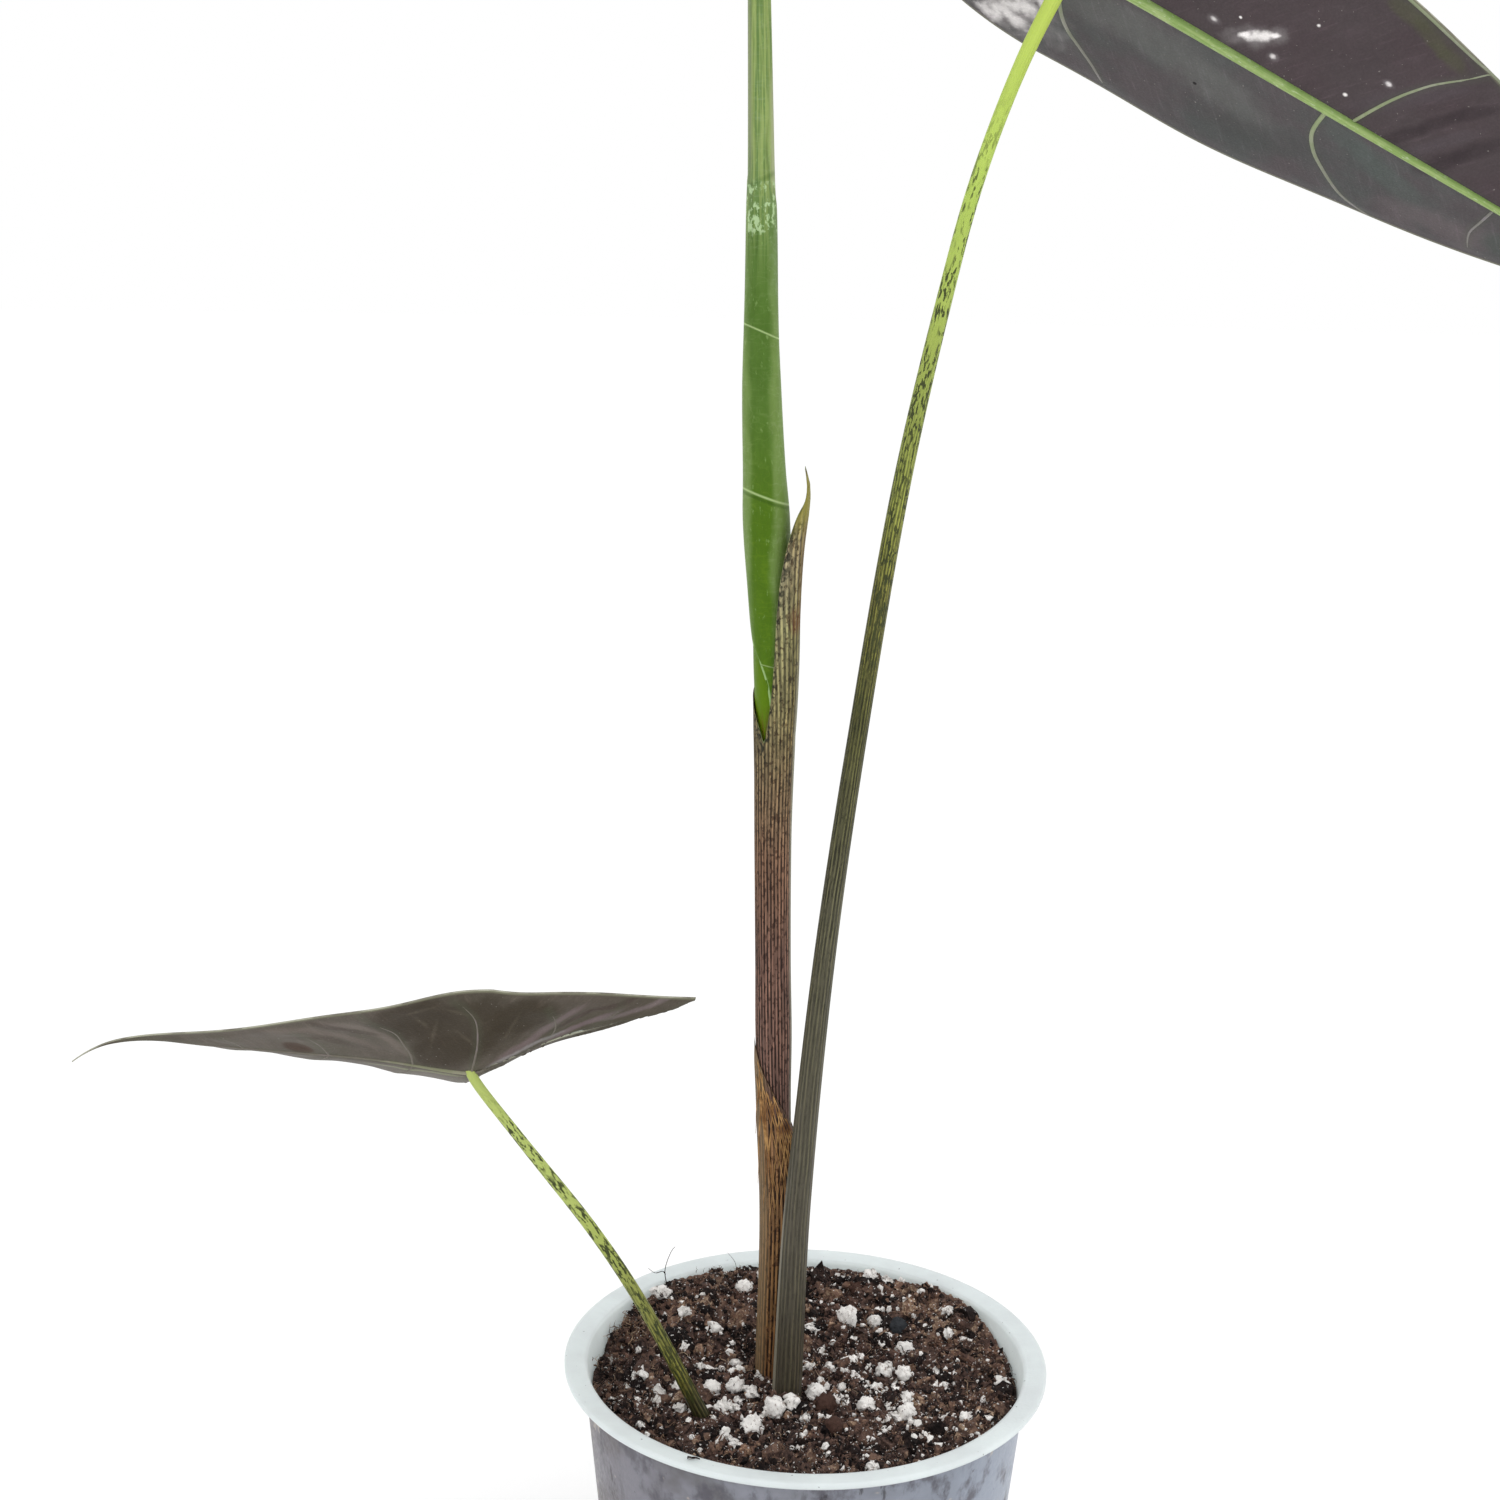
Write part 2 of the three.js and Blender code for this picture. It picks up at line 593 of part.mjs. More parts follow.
function blade(name, leaf) {
  return placeLeaf(piece(name, bladeSolid(leaf), material(COLOURS.blade, 0.5)), leaf);
}

// Rhizome

function rhizomeBody(grow = 0) {
  const [rx, ry, rz] = RHIZOME_RADII.map((radius) => radius + grow);
  const body = new THREE.SphereGeometry(1, 18, 12);
  const position = body.getAttribute('position');
  for (let i = 0; i < position.count; i += 1) {
    const ring = 1 + 0.05 * Math.cos(position.getY(i) * 14);
    position.setXYZ(i, position.getX(i) * ring, position.getY(i), position.getZ(i) * ring);
  }
  body.rotateX(Math.PI / 2);
  body.scale(rx, ry, rz);
  return body.translate(...RHIZOME_CENTRE);
}

function root(number, grow = 0) {
  const bearing = ((number + 0.3) / ROOTS) * 2 * Math.PI;
  const [x, y, z] = RHIZOME_CENTRE;
  const out = new THREE.Vector3(Math.cos(bearing), Math.sin(bearing), 0);
  const from = new THREE.Vector3(x, y, z - 4).addScaledVector(out, 6);
  const mid = from.clone().addScaledVector(out, 0.45 * ROOT_LENGTH).add(new THREE.Vector3(0, 0, -7));
  const end = mid.clone().addScaledVector(out, 0.2 * ROOT_LENGTH + grow);
  end.z -= 0.8 * ROOT_LENGTH + grow;
  const curve = new THREE.CatmullRomCurve3([from, mid, end]);
  return stalk(curve, (t) => ROOT_RADIUS * (1 - 0.5 * t) + grow, 6, 5);
}

function rhizomeWithRoots(grow = 0) {
  let solid = toManifold(rhizomeBody(grow));
  for (let number = 0; number < ROOTS; number += 1) solid = solid.add(toManifold(root(number, grow)));
  return fromManifold(solid);
}

// Plain holes for the stems, in the soil and in the rhizome
function stemHoles() {
  const shoot = axisCurve(SHOOT_AXIS, CLEARANCE);
  const shootRadius = (t) => oldSheathOuter(shoot.getPointAt(t).z) + CLEARANCE;
  return [
    bigPetioleStalk(CLEARANCE),
    smallPetioleStalk(CLEARANCE),
    stalk(shoot, shootRadius, 20, 60),
  ];
}

const plant = new THREE.Group();
const { pieces: loose, pockets } = grains();
const holes = stemHoles();

plant.add(pot());
plant.add(soil([rhizomeWithRoots(CLEARANCE), ...holes, ...pockets]));
plant.add(piece('rhizome', cut(rhizomeWithRoots(), holes), material(COLOURS.rhizome, 0.9)));
plant.add(piece('old_sheath', oldSheath(), material(COLOURS.oldSheath, 0.8)));
plant.add(piece('shoot_sheath', shootSheath(), material(COLOURS.shootSheath, 0.7)));
plant.add(piece('new_leaf', newLeaf(), material(COLOURS.newLeaf, 0.45)));
plant.add(petiole('petiole_big', bigPetioleStalk(), BIG_LEAF, COLOURS.petiole));
plant.add(petiole('petiole_small', smallPetioleStalk(), SMALL_LEAF, COLOURS.smallPetiole));
plant.add(blade('blade_big', BIG_LEAF));
plant.add(blade('blade_small', SMALL_LEAF));
for (const bit of loose) plant.add(bit);

export default plant;
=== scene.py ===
"""Looks of a potted Alocasia longiloba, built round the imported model.

Tables and shape functions are in millimetres and degrees, and a finished mesh is in metres.
"""

import bisect
import random
from math import atan2, ceil, cos, degrees, exp, hypot, pi, radians, sin, tan

import bmesh
import bpy
import numpy as np
from bpy.props import FloatProperty, FloatVectorProperty, IntProperty, PointerProperty
from mathutils import Matrix, Vector, noise


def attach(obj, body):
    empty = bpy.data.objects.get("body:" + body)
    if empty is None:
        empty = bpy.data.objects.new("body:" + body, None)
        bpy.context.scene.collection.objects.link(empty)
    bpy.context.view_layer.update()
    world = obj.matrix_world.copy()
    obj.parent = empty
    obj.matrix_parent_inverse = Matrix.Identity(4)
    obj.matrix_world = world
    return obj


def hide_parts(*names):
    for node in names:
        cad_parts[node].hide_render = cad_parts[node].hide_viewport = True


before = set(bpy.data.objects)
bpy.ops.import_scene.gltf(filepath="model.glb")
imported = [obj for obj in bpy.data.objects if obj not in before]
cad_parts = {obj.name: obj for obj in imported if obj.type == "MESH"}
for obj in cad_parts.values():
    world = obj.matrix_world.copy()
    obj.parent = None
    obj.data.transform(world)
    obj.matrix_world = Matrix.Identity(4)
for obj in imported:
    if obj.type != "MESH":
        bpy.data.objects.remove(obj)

bl_info = {
    "name": "Potted alocasia",
    "version": (1, 0, 0),
    "blender": (4, 5, 0),
    "location": "View3D > Sidebar > Alocasia",
    "description": "Builds the leaves, stems, soil and pot of a potted alocasia",
    "category": "Object",
}

MM = 0.001

# Without a seed of its own, vector noise would differ from run to run
NOISE_SEED = 7

# Attributes that materials read: a place on the unbent piece in mm, and either the distance in mm
# to the nearest vein or free edge, a crumb's own tone from 0 to 1, or the soil surface's height among its
# lumps, which paints shade into its hollows and light onto its tops
LAY = "lay"
NEAR = "near"

# Stems: points along each axis, and outer radii
SHOOT_AXIS = (
    (-7.2, 4.2, 58), (-6.9, 4.2, 90), (-6.6, 3, 125), (-8.2, 0.9, 163), (-9.3, -0.6, 208),
    (-9.6, -1.8, 238), (-11.7, -2.8, 272), (-13.4, -4.3, 303), (-14, -6, 335), (-15.1, -8, 374),
    (-18, -13, 460),
)
BIG_PETIOLE_AXIS = (
    (-4.6, -5.9, 58), (-3.7, -5.6, 87), (-2.3, -5, 131), (1.8, -5, 185), (7.8, -5, 236),
    (14.8, -5, 284.6), (21.8, -5, 319.7), (27.3, -5, 342.3), (35.2, -5, 364.6), (44.6, -4.6, 384),
)
BIG_PETIOLE_RADII = (2.7, 2.9, 2.65, 2.5, 2.3, 2.1, 1.95, 1.85, 1.7, 1.5, 1.4, 1.6)
SMALL_PETIOLE_AXIS = (
    (-11.5, -9, 60), (-22.5, -15, 87), (-35.5, -15, 112.6), (-45.4, -15, 128.3),
    (-60.3, -15, 148.1), (-69.8, -15, 161.1), (-71.4, -14.8, 164.4),
)
SMALL_PETIOLE_RADII = (1.8, 2, 1.6, 1.4, 1.32, 1.25, 1.1, 1.05)

# Sheaths and rolled leaf: radius by height, and top edge's height by bearing
SHOOT_SHEATH_RADII = (
    (58, 2.9), (90, 2.9), (130, 3), (150, 3.3), (166, 3.8), (183, 3.7), (209, 3.8), (222, 4),
    (235, 4.3), (286, 4.4),
)
SHOOT_SHEATH_TOP = (
    (0, 266), (15, 254), (45, 249), (90, 246), (180, 240), (225, 234), (240, 231.5), (255, 237),
    (270, 246), (285, 260), (300, 270), (315, 277), (330, 280.5), (345, 286.4), (360, 266),
)
TIP_FLARE = (
    (232, 0), (248, 1.1), (256, 1.6), (266, 2.6), (272, 3.4), (279, 4.6), (283, 4.8), (286.5, 4.1),
)
OLD_SHEATH_TOP = (
    (0, 143), (90, 150), (140, 158), (180, 166), (225, 160), (270, 154), (315, 148), (360, 143),
)
NEW_LEAF_RADII = (
    (58, 1.8), (130, 1.95), (165, 2.3), (205, 3), (222, 3.5), (238, 3.88), (250, 4.1),
    (262, 4.3), (276, 4.6), (286, 4.15), (302, 3.75), (313, 3.35), (336, 2.8), (341, 2.58), (353, 2.4),
    (375, 2.15), (402, 1.8), (428, 1.25), (455, 0.45),
)

# Blade outline from apex to lobe tip: lengths ahead or lobes behind, and half widths out
MARGIN = (
    (1, 0.016), (0.93, 0.045), (0.84, 0.115), (0.7, 0.4), (0.5, 0.71), (0.3, 0.905),
    (0.1, 1), (-0.18, 0.98), (-0.45, 0.86), (-0.75, 0.7), (-1, 0.52),
)
MARGIN_SPLIT = 0.6
LOBE_VEIN = ((0, 0), (-0.33, 0.2), (-0.68, 0.4), (-1, 0.5))
SINUS = ((-0.05, 0), (-0.28, 0.12), (-0.55, 0.29), (-0.8, 0.42), (-1, 0.49))
BIG_LEAF = dict(
    junction=(44.4, -4.2, 383), azimuth=-6.2, dip=28.5, roll=-42.2,
    length=151, half_width=30, lobe=82, taper=0.94, fold_base=11.8, fold_tip=11.6, twist=0,
    arch=-0.005, droop=0.02, rise=0.18, far_lobe=0, cup=0.4, belly=0.5, wave=0.6, keel=0,
    midrib=(1.25, 1.4), vein=(0.55, 0.4),
)
SMALL_LEAF = dict(
    junction=(-70.5, -14.4, 163.6), azimuth=192, dip=-8.3, roll=34,
    length=78.5, half_width=24.2, lobe=44, taper=1.6, fold_base=19.7, fold_tip=11.4, twist=11.8,
    arch=-0.02, droop=0.087, rise=0.22, far_lobe=6, cup=1.7, belly=3.8, wave=0.4, keel=1.8,
    midrib=(0.6, 0.8), vein=(0.3, 0.2),
)


# Settings

def length(name, about, default):
    return FloatProperty(name=name, description=about, default=default, min=0, unit="LENGTH")


def count(name, about, default):
    return IntProperty(name=name, description=about, default=default, min=0)


def linear(red, green, blue):
    """A colour of 0..255 display values, as the linear values that shaders take"""
    values = (c / 255 for c in (red, green, blue))
    return tuple(c / 12.92 if c <= 0.04045 else ((c + 0.055) / 1.055) ** 2.4 for c in values)


def colour(name, about, *display):
    return FloatVectorProperty(
        name=name, description=about, default=linear(*display), min=0, max=1, size=3, subtype="COLOR",
    )


class PotSettings(bpy.types.PropertyGroup):
    height: length("Height", "From the base to the rim's top", 0.093)
    rim_radius: length("Rim radius", "Outer radius of the rim", 0.0525)
    rim_width: length("Rim width", "Width of the flat rim", 0.004)
    base_radius: length("Base radius", "Outer radius at the base", 0.039)
    wall: length("Wall", "Thickness of the wall", 0.001)
    floor: length("Floor", "Thickness of the floor", 0.0014)
    plastic: colour("Plastic", "Colour of the frosted plastic", 219, 227, 227)
    shadow: colour("Shadow", "Colour of the wall where soil stands behind it", 142, 144, 154)
    smudge: colour("Smudge", "Colour of dark soil pressed against the wall", 84, 82, 90)


class SoilSettings(bpy.types.PropertyGroup):
    height: length("Height", "Level of the soil above the pot's base", 0.0865)
    relief: length("Relief", "Height of the soil's lumps", 0.0013)
    heap: length("Heap", "How much higher the soil is at the back", 0.0045)
    crumbs: count("Crumbs", "Number of soil crumbs", 9400)
    specks: count("Specks", "Number of fine perlite crumbs", 1900)
    fibres: count("Fibres", "Number of peat fibres", 5400)
    # Dark and tan are the darkest and lightest soil tones; on the soil's surface they also paint shade in the
    # hollows and light on the tops
    dark: colour("Dark soil", "Colour of moist soil in the gaps", 44, 34, 32)
    brown: colour("Brown soil", "Colour of the drier crumbs", 96, 76, 69)
    rust: colour("Rust soil", "Colour of the fluffy fibres", 128, 102, 86)
    tan: colour("Tan soil", "Colour of the driest crumbs", 190, 166, 142)
    perlite: colour("Perlite", "Colour of clean perlite", 253, 250, 246)
    stain: colour("Stain", "Colour of dirt on the perlite", 128, 98, 84)


class StemSettings(bpy.types.PropertyGroup):
    base: colour("Petiole base", "Colour of the large petiole near the soil", 84, 79, 68)
    middle: colour("Petiole middle", "Colour of the large petiole two thirds up", 134, 142, 70)
    top: colour("Petiole top", "Colour of the large petiole under its leaf", 196, 214, 100)
    small: colour("Small petiole", "Colour of the small petiole", 180, 194, 110)
    fleck: colour("Fleck", "Colour of the flecks on the petioles", 52, 58, 28)
    sheath: colour("Sheath", "Colour of the shoot's sheath near its top", 144, 136, 108)
    sheath_low: colour("Low sheath", "Colour of the shoot's sheath lower down", 108, 82, 71)
    old: colour("Old sheath", "Colour of the dry sheath", 118, 88, 56)
    # The rolled leaf's deep middle and pale sides are painted shade and painted light shining through its
    # thin sides
    roll: colour("Rolled leaf", "Colour of the rolled leaf's middle", 74, 108, 4)
    roll_pale: colour("Pale roll", "Colour of the rolled leaf's sides", 112, 138, 72)


class LeafSettings(bpy.types.PropertyGroup):
    thickness: length("Thickness", "Thickness of a blade", 0.0007)
    edge: length("Edge", "Thickness of a blade at its margin", 0.00032)
    purple: colour("Purple", "Main colour of the large blade's underside", 78, 72, 74)
    green: colour("Grey green", "Second colour of the large blade's underside", 74, 76, 75)
    brown: colour("Brown", "Colour of the far half of the large blade's underside", 72, 61, 64)
    young: colour("Young", "Main colour of the small blade's underside", 90, 83, 75)
    young_green: colour("Young green", "Second colour of the small blade's underside", 82, 77, 66)
    vein: colour("Vein", "Colour of the large blade's veins below", 150, 172, 108)
    young_vein: colour("Young vein", "Colour of the small blade's veins below", 142, 146, 112)
    upper: colour("Upper face", "Colour of a blade's upper face", 38, 62, 44)
    silver: colour("Silver", "Colour of the veins above", 168, 184, 160)


class StageSettings(bpy.types.PropertyGroup):
    camera_place: FloatVectorProperty(
        name="Camera", description="Place of the camera", size=3, subtype="TRANSLATION", unit="LENGTH",
        default=(-0.0143974, -0.4414793, 0.3267866),
    )
    camera_dip: FloatProperty(
        name="Camera dip", description="How far the camera looks down", subtype="ANGLE", unit="ROTATION",
        default=radians(12.58),
    )
    camera_roll: FloatProperty(
        name="Camera roll", description="Turn of the camera round its view", subtype="ANGLE",
        unit="ROTATION", default=radians(1.02),
    )
    lens: FloatProperty(name="Lens", description="Focal length on a 36 mm sensor", default=52.8)
    backdrop: colour("Backdrop", "Colour of the floor", 250, 250, 250)
    daylight: FloatProperty(name="Daylight", description="Strength of the even light all round", default=1)
    lamp: FloatProperty(name="Lamp", description="Power of the large soft lamp", default=4, unit="POWER")


# Measures

def mix(a, b, part):
    return a + (b - a) * part


def clamp(value, low=0.0, high=1.0):
    return max(low, min(high, value))


def ease(value, low, high):
    part = clamp((value - low) / (high - low))
    return part * part * (3 - 2 * part)


def along(pairs, position):
    """A smooth value at a position between the (position, value) pairs of a list"""
    if position <= pairs[0][0]:
        return pairs[0][1]
    if position >= pairs[-1][0]:
        return pairs[-1][1]
    i = bisect.bisect([p for p, _ in pairs], position) - 1
    (p0, v0), (p1, v1) = pairs[i], pairs[i + 1]
    slopes = []
    for j in (i, i + 1):
        a, b = pairs[max(j - 1, 0)], pairs[min(j + 1, len(pairs) - 1)]
        slopes.append((b[1] - a[1]) / (b[0] - a[0]))
    width, t = p1 - p0, (position - p0) / (p1 - p0)
    return (
        (2 * t ** 3 - 3 * t ** 2 + 1) * v0 + (t ** 3 - 2 * t ** 2 + t) * width * slopes[0]
        + (3 * t ** 2 - 2 * t ** 3) * v1 + (t ** 3 - t ** 2) * width * slopes[1]
    )


def spaced(values):
    """Values as pairs at even steps from 0 to 1"""
    return [(i / (len(values) - 1), value) for i, value in enumerate(values)]


class Axis:
    """A smooth curve through points, measured along its length from 0 to 1"""

    STEPS = 400

    def __init__(self, points):
        self.points = [Vector(p) for p in points]
        marks = [self.raw(i / self.STEPS) for i in range(self.STEPS + 1)]
        self.lengths = [0.0]
        for a, b in zip(marks, marks[1:]):
            self.lengths.append(self.lengths[-1] + (b - a).length)
        self.length = self.lengths[-1]
        self.frames = {}

    def raw(self, t):
        points, last = self.points, len(self.points) - 1
        i = min(int(t * last), last - 1)
        w = t * last - i
        b, c = points[i], points[i + 1]
        a = points[i - 1] if i else 2 * b - c
        d = points[i + 2] if i + 2 <= last else 2 * c - b
        ab, bc, cd = ((q - p).length ** 0.5 for p, q in ((a, b), (b, c), (c, d)))
        start = ((b - a) / ab - (c - a) / (ab + bc) + (c - b) / bc) * bc
        end = ((c - b) / bc - (d - b) / (bc + cd) + (d - c) / cd) * bc
        curve = (2 * b - 2 * c + start + end) * w ** 3
        return curve + (3 * c - 3 * b - 2 * start - end) * w ** 2 + start * w + b

    def at(self, t):
        target = clamp(t) * self.length
        i = clamp(bisect.bisect(self.lengths, target) - 1, 0, self.STEPS - 1)
        low, high = self.lengths[i], self.lengths[i + 1]
        return self.raw((i + (target - low) / (high - low)) / self.STEPS)

    def beside(self, t, bearing, radius):
        """The place beside the curve, at a bearing in degrees from the right towards the back"""
        if t not in self.frames:
            ahead = (self.at(t + 0.001) - self.at(t - 0.001)).normalized()
            right = (Vector((1, 0, 0)) - ahead * ahead.x).normalized()
            self.frames[t] = self.at(t), right, ahead.cross(right)
        centre, right, back = self.frames[t]
        turn = radians(bearing)
        return centre + radius * (right * cos(turn) + back * sin(turn))


def unrolled(bearing, radius, height):
    """A place on an upright tube, which materials on a bent stem read"""
    return Vector((radius * cos(radians(bearing)), radius * sin(radians(bearing)), height))


# Loose bits are left as they are: neither turned outside out nor smoothed
LOOSE = dict(turn_out=False, smooth=False)


# Meshes

def new_shape():
    bm = bmesh.new()
    bm.verts.layers.float_vector.new(LAY)
    bm.verts.layers.float.new(NEAR)
    return bm


def add_grid(bm, columns, rows, place, material=0):
    """Adds a grid whose points, from (0, 0) to (1, 1), go where place says, and welds its seams"""
    lay, near = bm.verts.layers.float_vector[LAY], bm.verts.layers.float[NEAR]
    made = bmesh.ops.create_grid(bm, x_segments=columns, y_segments=rows, size=0.5)["verts"]
    for vert in made:
        vert.co, vert[lay], vert[near] = place(vert.co.x + 0.5, vert.co.y + 0.5)
    for face in {face for vert in made for face in vert.link_faces}:
        face.material_index = material
    bmesh.ops.remove_doubles(bm, verts=made, dist=1e-3)


def finish_piece(bm, name, slot, materials, replaced=(), turn_out=True, smooth=True):
    """Makes the shape a piece of the object, in metres"""
    if turn_out:
        bmesh.ops.recalc_face_normals(bm, faces=bm.faces)
    for face in bm.faces:
        face.smooth = smooth
    bmesh.ops.scale(bm, vec=(MM, MM, MM), verts=bm.verts)
    mesh = bpy.data.meshes.new(name)
    bm.to_mesh(mesh)
    bm.free()
    for material in materials:
        mesh.materials.append(material)
    piece = bpy.data.objects.new(name, mesh)
    bpy.context.scene.collection.objects.link(piece)
    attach(piece, "root")
    if replaced:
        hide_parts(*replaced)
    return piece


def scatter(shapes, places):
    """One shape from many copies of small ones: places are (which shape, matrix, shade) rows"""
    meshes = []
    for shape in shapes:
        mesh = bpy.data.meshes.new("pattern")
        shape.to_mesh(mesh)
        shape.free()
        meshes.append(mesh)
    bm = new_shape()
    for which, matrix, shade in places:
        mesh = meshes[which]
        mesh.attributes[NEAR].data.foreach_set("value", [shade] * len(mesh.vertices))
        mesh.transform(matrix)
        bm.from_mesh(mesh)
        mesh.transform(matrix.inverted())
    for mesh in meshes:
        bpy.data.meshes.remove(mesh)
    return bm


def roughen(bm, amount, grain, seed=0):
    """Moves each point by a smooth random amount, with bumps of about the grain's size"""
    noise.seed_set(NOISE_SEED)
    shift = Vector((seed * 7.3, seed * 3.1, seed * 5.7))
    for vert in bm.verts:
        vert.co += amount * noise.noise_vector(vert.co / grain + shift)


def cobble(bm, depth, size):
    """Swells the surface into rounded lumps with creases between them"""
    bm.normal_update()
    for vert in bm.verts:
        (first, second, *_), _ = noise.voronoi(vert.co / size)
        vert.co += vert.normal * depth * (min(second - first, 0.5) - 0.2)


def add_stalk(bm, axis, radius, around, steps, limit=None):
    """A closed stalk round an axis: its radius is by place and bearing, and both ends are capped"""
    def place(u, v):
        t = clamp((v - 0.004) / 0.992)
        bearing = 90 + 360 * u
        reach = radius(t, bearing) if 0.002 < v < 0.998 else 0
        point = axis.beside(t, bearing, reach)
        return (limit(point) if limit else point), unrolled(bearing, reach, t * axis.length), 0
    add_grid(bm, around, steps, place)


# Shading

def as_linear(tint):
    """A colour as shaders take it, from a setting or from a tuple of 0..255 display values"""
    return linear(*tint) if isinstance(tint, tuple) else tint


def add(tree, kind, inputs=None, **settings):
    """A node with its settings, and with each input linked or set"""
    node = tree.nodes.new(kind)
    for key, value in settings.items():
        setattr(node, key, value)
    for key, value in (inputs or {}).items():
        socket = node.inputs[key]
        if isinstance(value, Value):
            tree.links.new(value.socket, socket)
        else:
            socket.default_value = (*value, 1) if socket.type == "RGBA" and len(value) == 3 else value
    return node


def effect(**inputs):
    """Makes a shader node group of a method, built once, with a place and these as its inputs"""
    inputs = {"place": (0, 0, 0), **inputs}

    def wrap(build):
        name = build.__name__.capitalize()

        def make():
            tree = bpy.data.node_groups.new(name, "ShaderNodeTree")
            for key, default in inputs.items():
                kind = "NodeSocketVector" if isinstance(default, tuple) else "NodeSocketFloat"
                socket = tree.interface.new_socket(name=key, in_out="INPUT", socket_type=kind)
                socket.default_value = default
            tree.interface.new_socket(name="mask", in_out="OUTPUT", socket_type="NodeSocketFloat")
            given = tree.nodes.new("NodeGroupInput")
            add(tree, "NodeGroupOutput", {"mask": build(*(Value(given, key) for key in inputs))})
            return tree

        def run(*values):
            made = bpy.data.node_groups.get(name) or make()
            given = {**inputs, **dict(zip(inputs, values))}
            return values[0].node("ShaderNodeGroup", given, node_tree=made)
        return run
    return wrap


class Value:
    """A node's output, which is reckoned with as a number, a place, a mask or a colour"""

    def __init__(self, node, output=0):
        self.tree, self.socket = node.id_data, node.outputs[output]

    def node(self, kind, inputs, output=0, **settings):
        return Value(add(self.tree, kind, inputs, **settings), output)

    def maths(self, operation, a, b=0.0):
        return self.node("ShaderNodeMath", {0: a, 1: b}, operation=operation)

    def __add__(self, other):
        return self.maths("ADD", self, other)

    __radd__ = __add__

    def __sub__(self, other):
        return self.maths("SUBTRACT", self, other)

    def __rsub__(self, other):
        return self.maths("SUBTRACT", other, self)

    def __mul__(self, other):
        return self.maths("MULTIPLY", self, other)

    def __truediv__(self, other):
        return self.maths("DIVIDE", self, other)

    def __abs__(self):
        return self.maths("ABSOLUTE", self)

    def most(self, other):
        return self.maths("MAXIMUM", self, other)

    def vector(self, operation, other=(0, 0, 0), output=0):
        return self.node("ShaderNodeVectorMath", {0: self, 1: other}, output, operation=operation)

    def turned(self, angle):
        return self.node("ShaderNodeVectorRotate", {"Vector": self, "Angle": angle}, rotation_type="Z_AXIS")

    def joined(self, y, z=0.0):
        return self.node("ShaderNodeCombineXYZ", {0: self, 1: y, 2: z})

    def parts(self):
        node = add(self.tree, "ShaderNodeSeparateXYZ", {0: self})
        return [Value(node, i) for i in range(3)]

    def noise(self, detail, scale=1.0, roughness=0.5):
        settings = {"Vector": self, "Scale": scale, "Detail": detail, "Roughness": roughness}
        return self.node("ShaderNodeTexNoise", settings)

    def step(self, low, high):
        """0 below low and 1 above high, with a smooth change between them"""
        limits = {"Value": self, "From Min": low, "From Max": high}
        return self.node("ShaderNodeMapRange", limits, interpolation_type="SMOOTHSTEP")

    def band(self, low, high):
        """1 between two soft limits, each a (from, to) pair"""
        return self.step(*low) * (1 - self.step(*high))

    @effect(stretch=(1, 1, 1), low=0.4, high=0.6, detail=4.0)
    def mottle(self, stretch, low, high, detail):
        """Soft patches of chance: stretch is how many patches there are to a unit of place, each way"""
        return self.vector("MULTIPLY", stretch).noise(detail, roughness=0.6).step(low, high)

    @effect(number=24.0, wander=0.0)
    def ribbing(self, number, wander):
        """Even ribs along an upright tube, that wander a little sideways"""
        x, y, _ = self.parts()
        turn = self.maths("ARCTAN2", x, y * -1.0)
        drift = self.vector("MULTIPLY", (0.3, 0.3, 0.05)).noise(2.0)
        return self.maths("SINE", turn * number + drift * wander) * 0.5 + 0.5

    @effect(stretch=(1, 1, 1), width=0.03, kept=0.5)
    def squiggles(self, stretch, width, kept):
        """Thin winding strokes: level lines of soft noise, kept only in a share of the surface"""
        scaled = self.vector("MULTIPLY", stretch)
        line = 1 - abs(scaled.noise(1.5) - 0.5).step(0.0, width)
        rare = 1 - kept
        return line * scaled.vector("ADD", (31.0, 17.0, 5.0)).noise(1.0, 0.9).step(rare, rare + 0.05)

    @effect(slope=(0, 0, 1), at=0.0, width=1.0)
    def crossing(self, slope, at, width):
        """A thin line where a slanted plane cuts a stem, as a mask"""
        return 1 - abs(self.vector("DOT_PRODUCT", slope, "Value") - at).step(0.0, width)

    @effect(centre=(0, 0, 0), size=(1, 1, 1), turn=0.0, ragged=0.5, grain=0.8, soft=0.3)
    def blot(self, centre, size, turn, ragged, grain, soft):
        """A ragged oval patch, as a mask"""
        scaled = self.vector("SUBTRACT", centre).turned(turn).vector("DIVIDE", size)
        uneven = (self.noise(3.0, grain) - 0.5) * ragged
        return 1 - (scaled.vector("LENGTH", output="Value") + uneven).step(1 - soft, 1 + soft)

    def between(self, a, b):
        """The colour a where this mask is 0, and b where it is 1"""
        inputs = {0: self, 6: as_linear(a), 7: as_linear(b)}
        return self.node("ShaderNodeMix", inputs, 2, data_type="RGBA")

    def toward(self, tint, factor):
        """This colour, changed to a tint where the factor is 1"""
        return factor.between(self, tint)

    def tinted(self, factor, *tint):
        """This colour, multiplied by a tint where the factor is 1"""
        inputs = {0: factor, 6: self, 7: tint}
        return self.node("ShaderNodeMix", inputs, 2, data_type="RGBA", blend_type="MULTIPLY")

    def painted(self, shown, marks):
        """A colour with marks: each is a tint, its strength, raggedness, grain, softness and ovals"""
        for tint, strength, ragged, grain, soft, ovals in marks:
            for x, y, long, wide, turn in ovals:
                mark = self.blot((x, y, 0), (long, wide, 1), -radians(turn), ragged, grain, soft)
                shown = shown.toward(tint, mark * strength)
        return shown

    def ramp(self, *stops):
        """A colour by value, from (position, colour) pairs"""
        node = add(self.tree, "ShaderNodeValToRGB", {0: self})
        elements = node.color_ramp.elements
        while len(elements) < len(stops):
            elements.new(0.5)
        for element, (position, tint) in zip(elements, stops):
            element.position, element.color = position, (*as_linear(tint), 1)
        return Value(node)


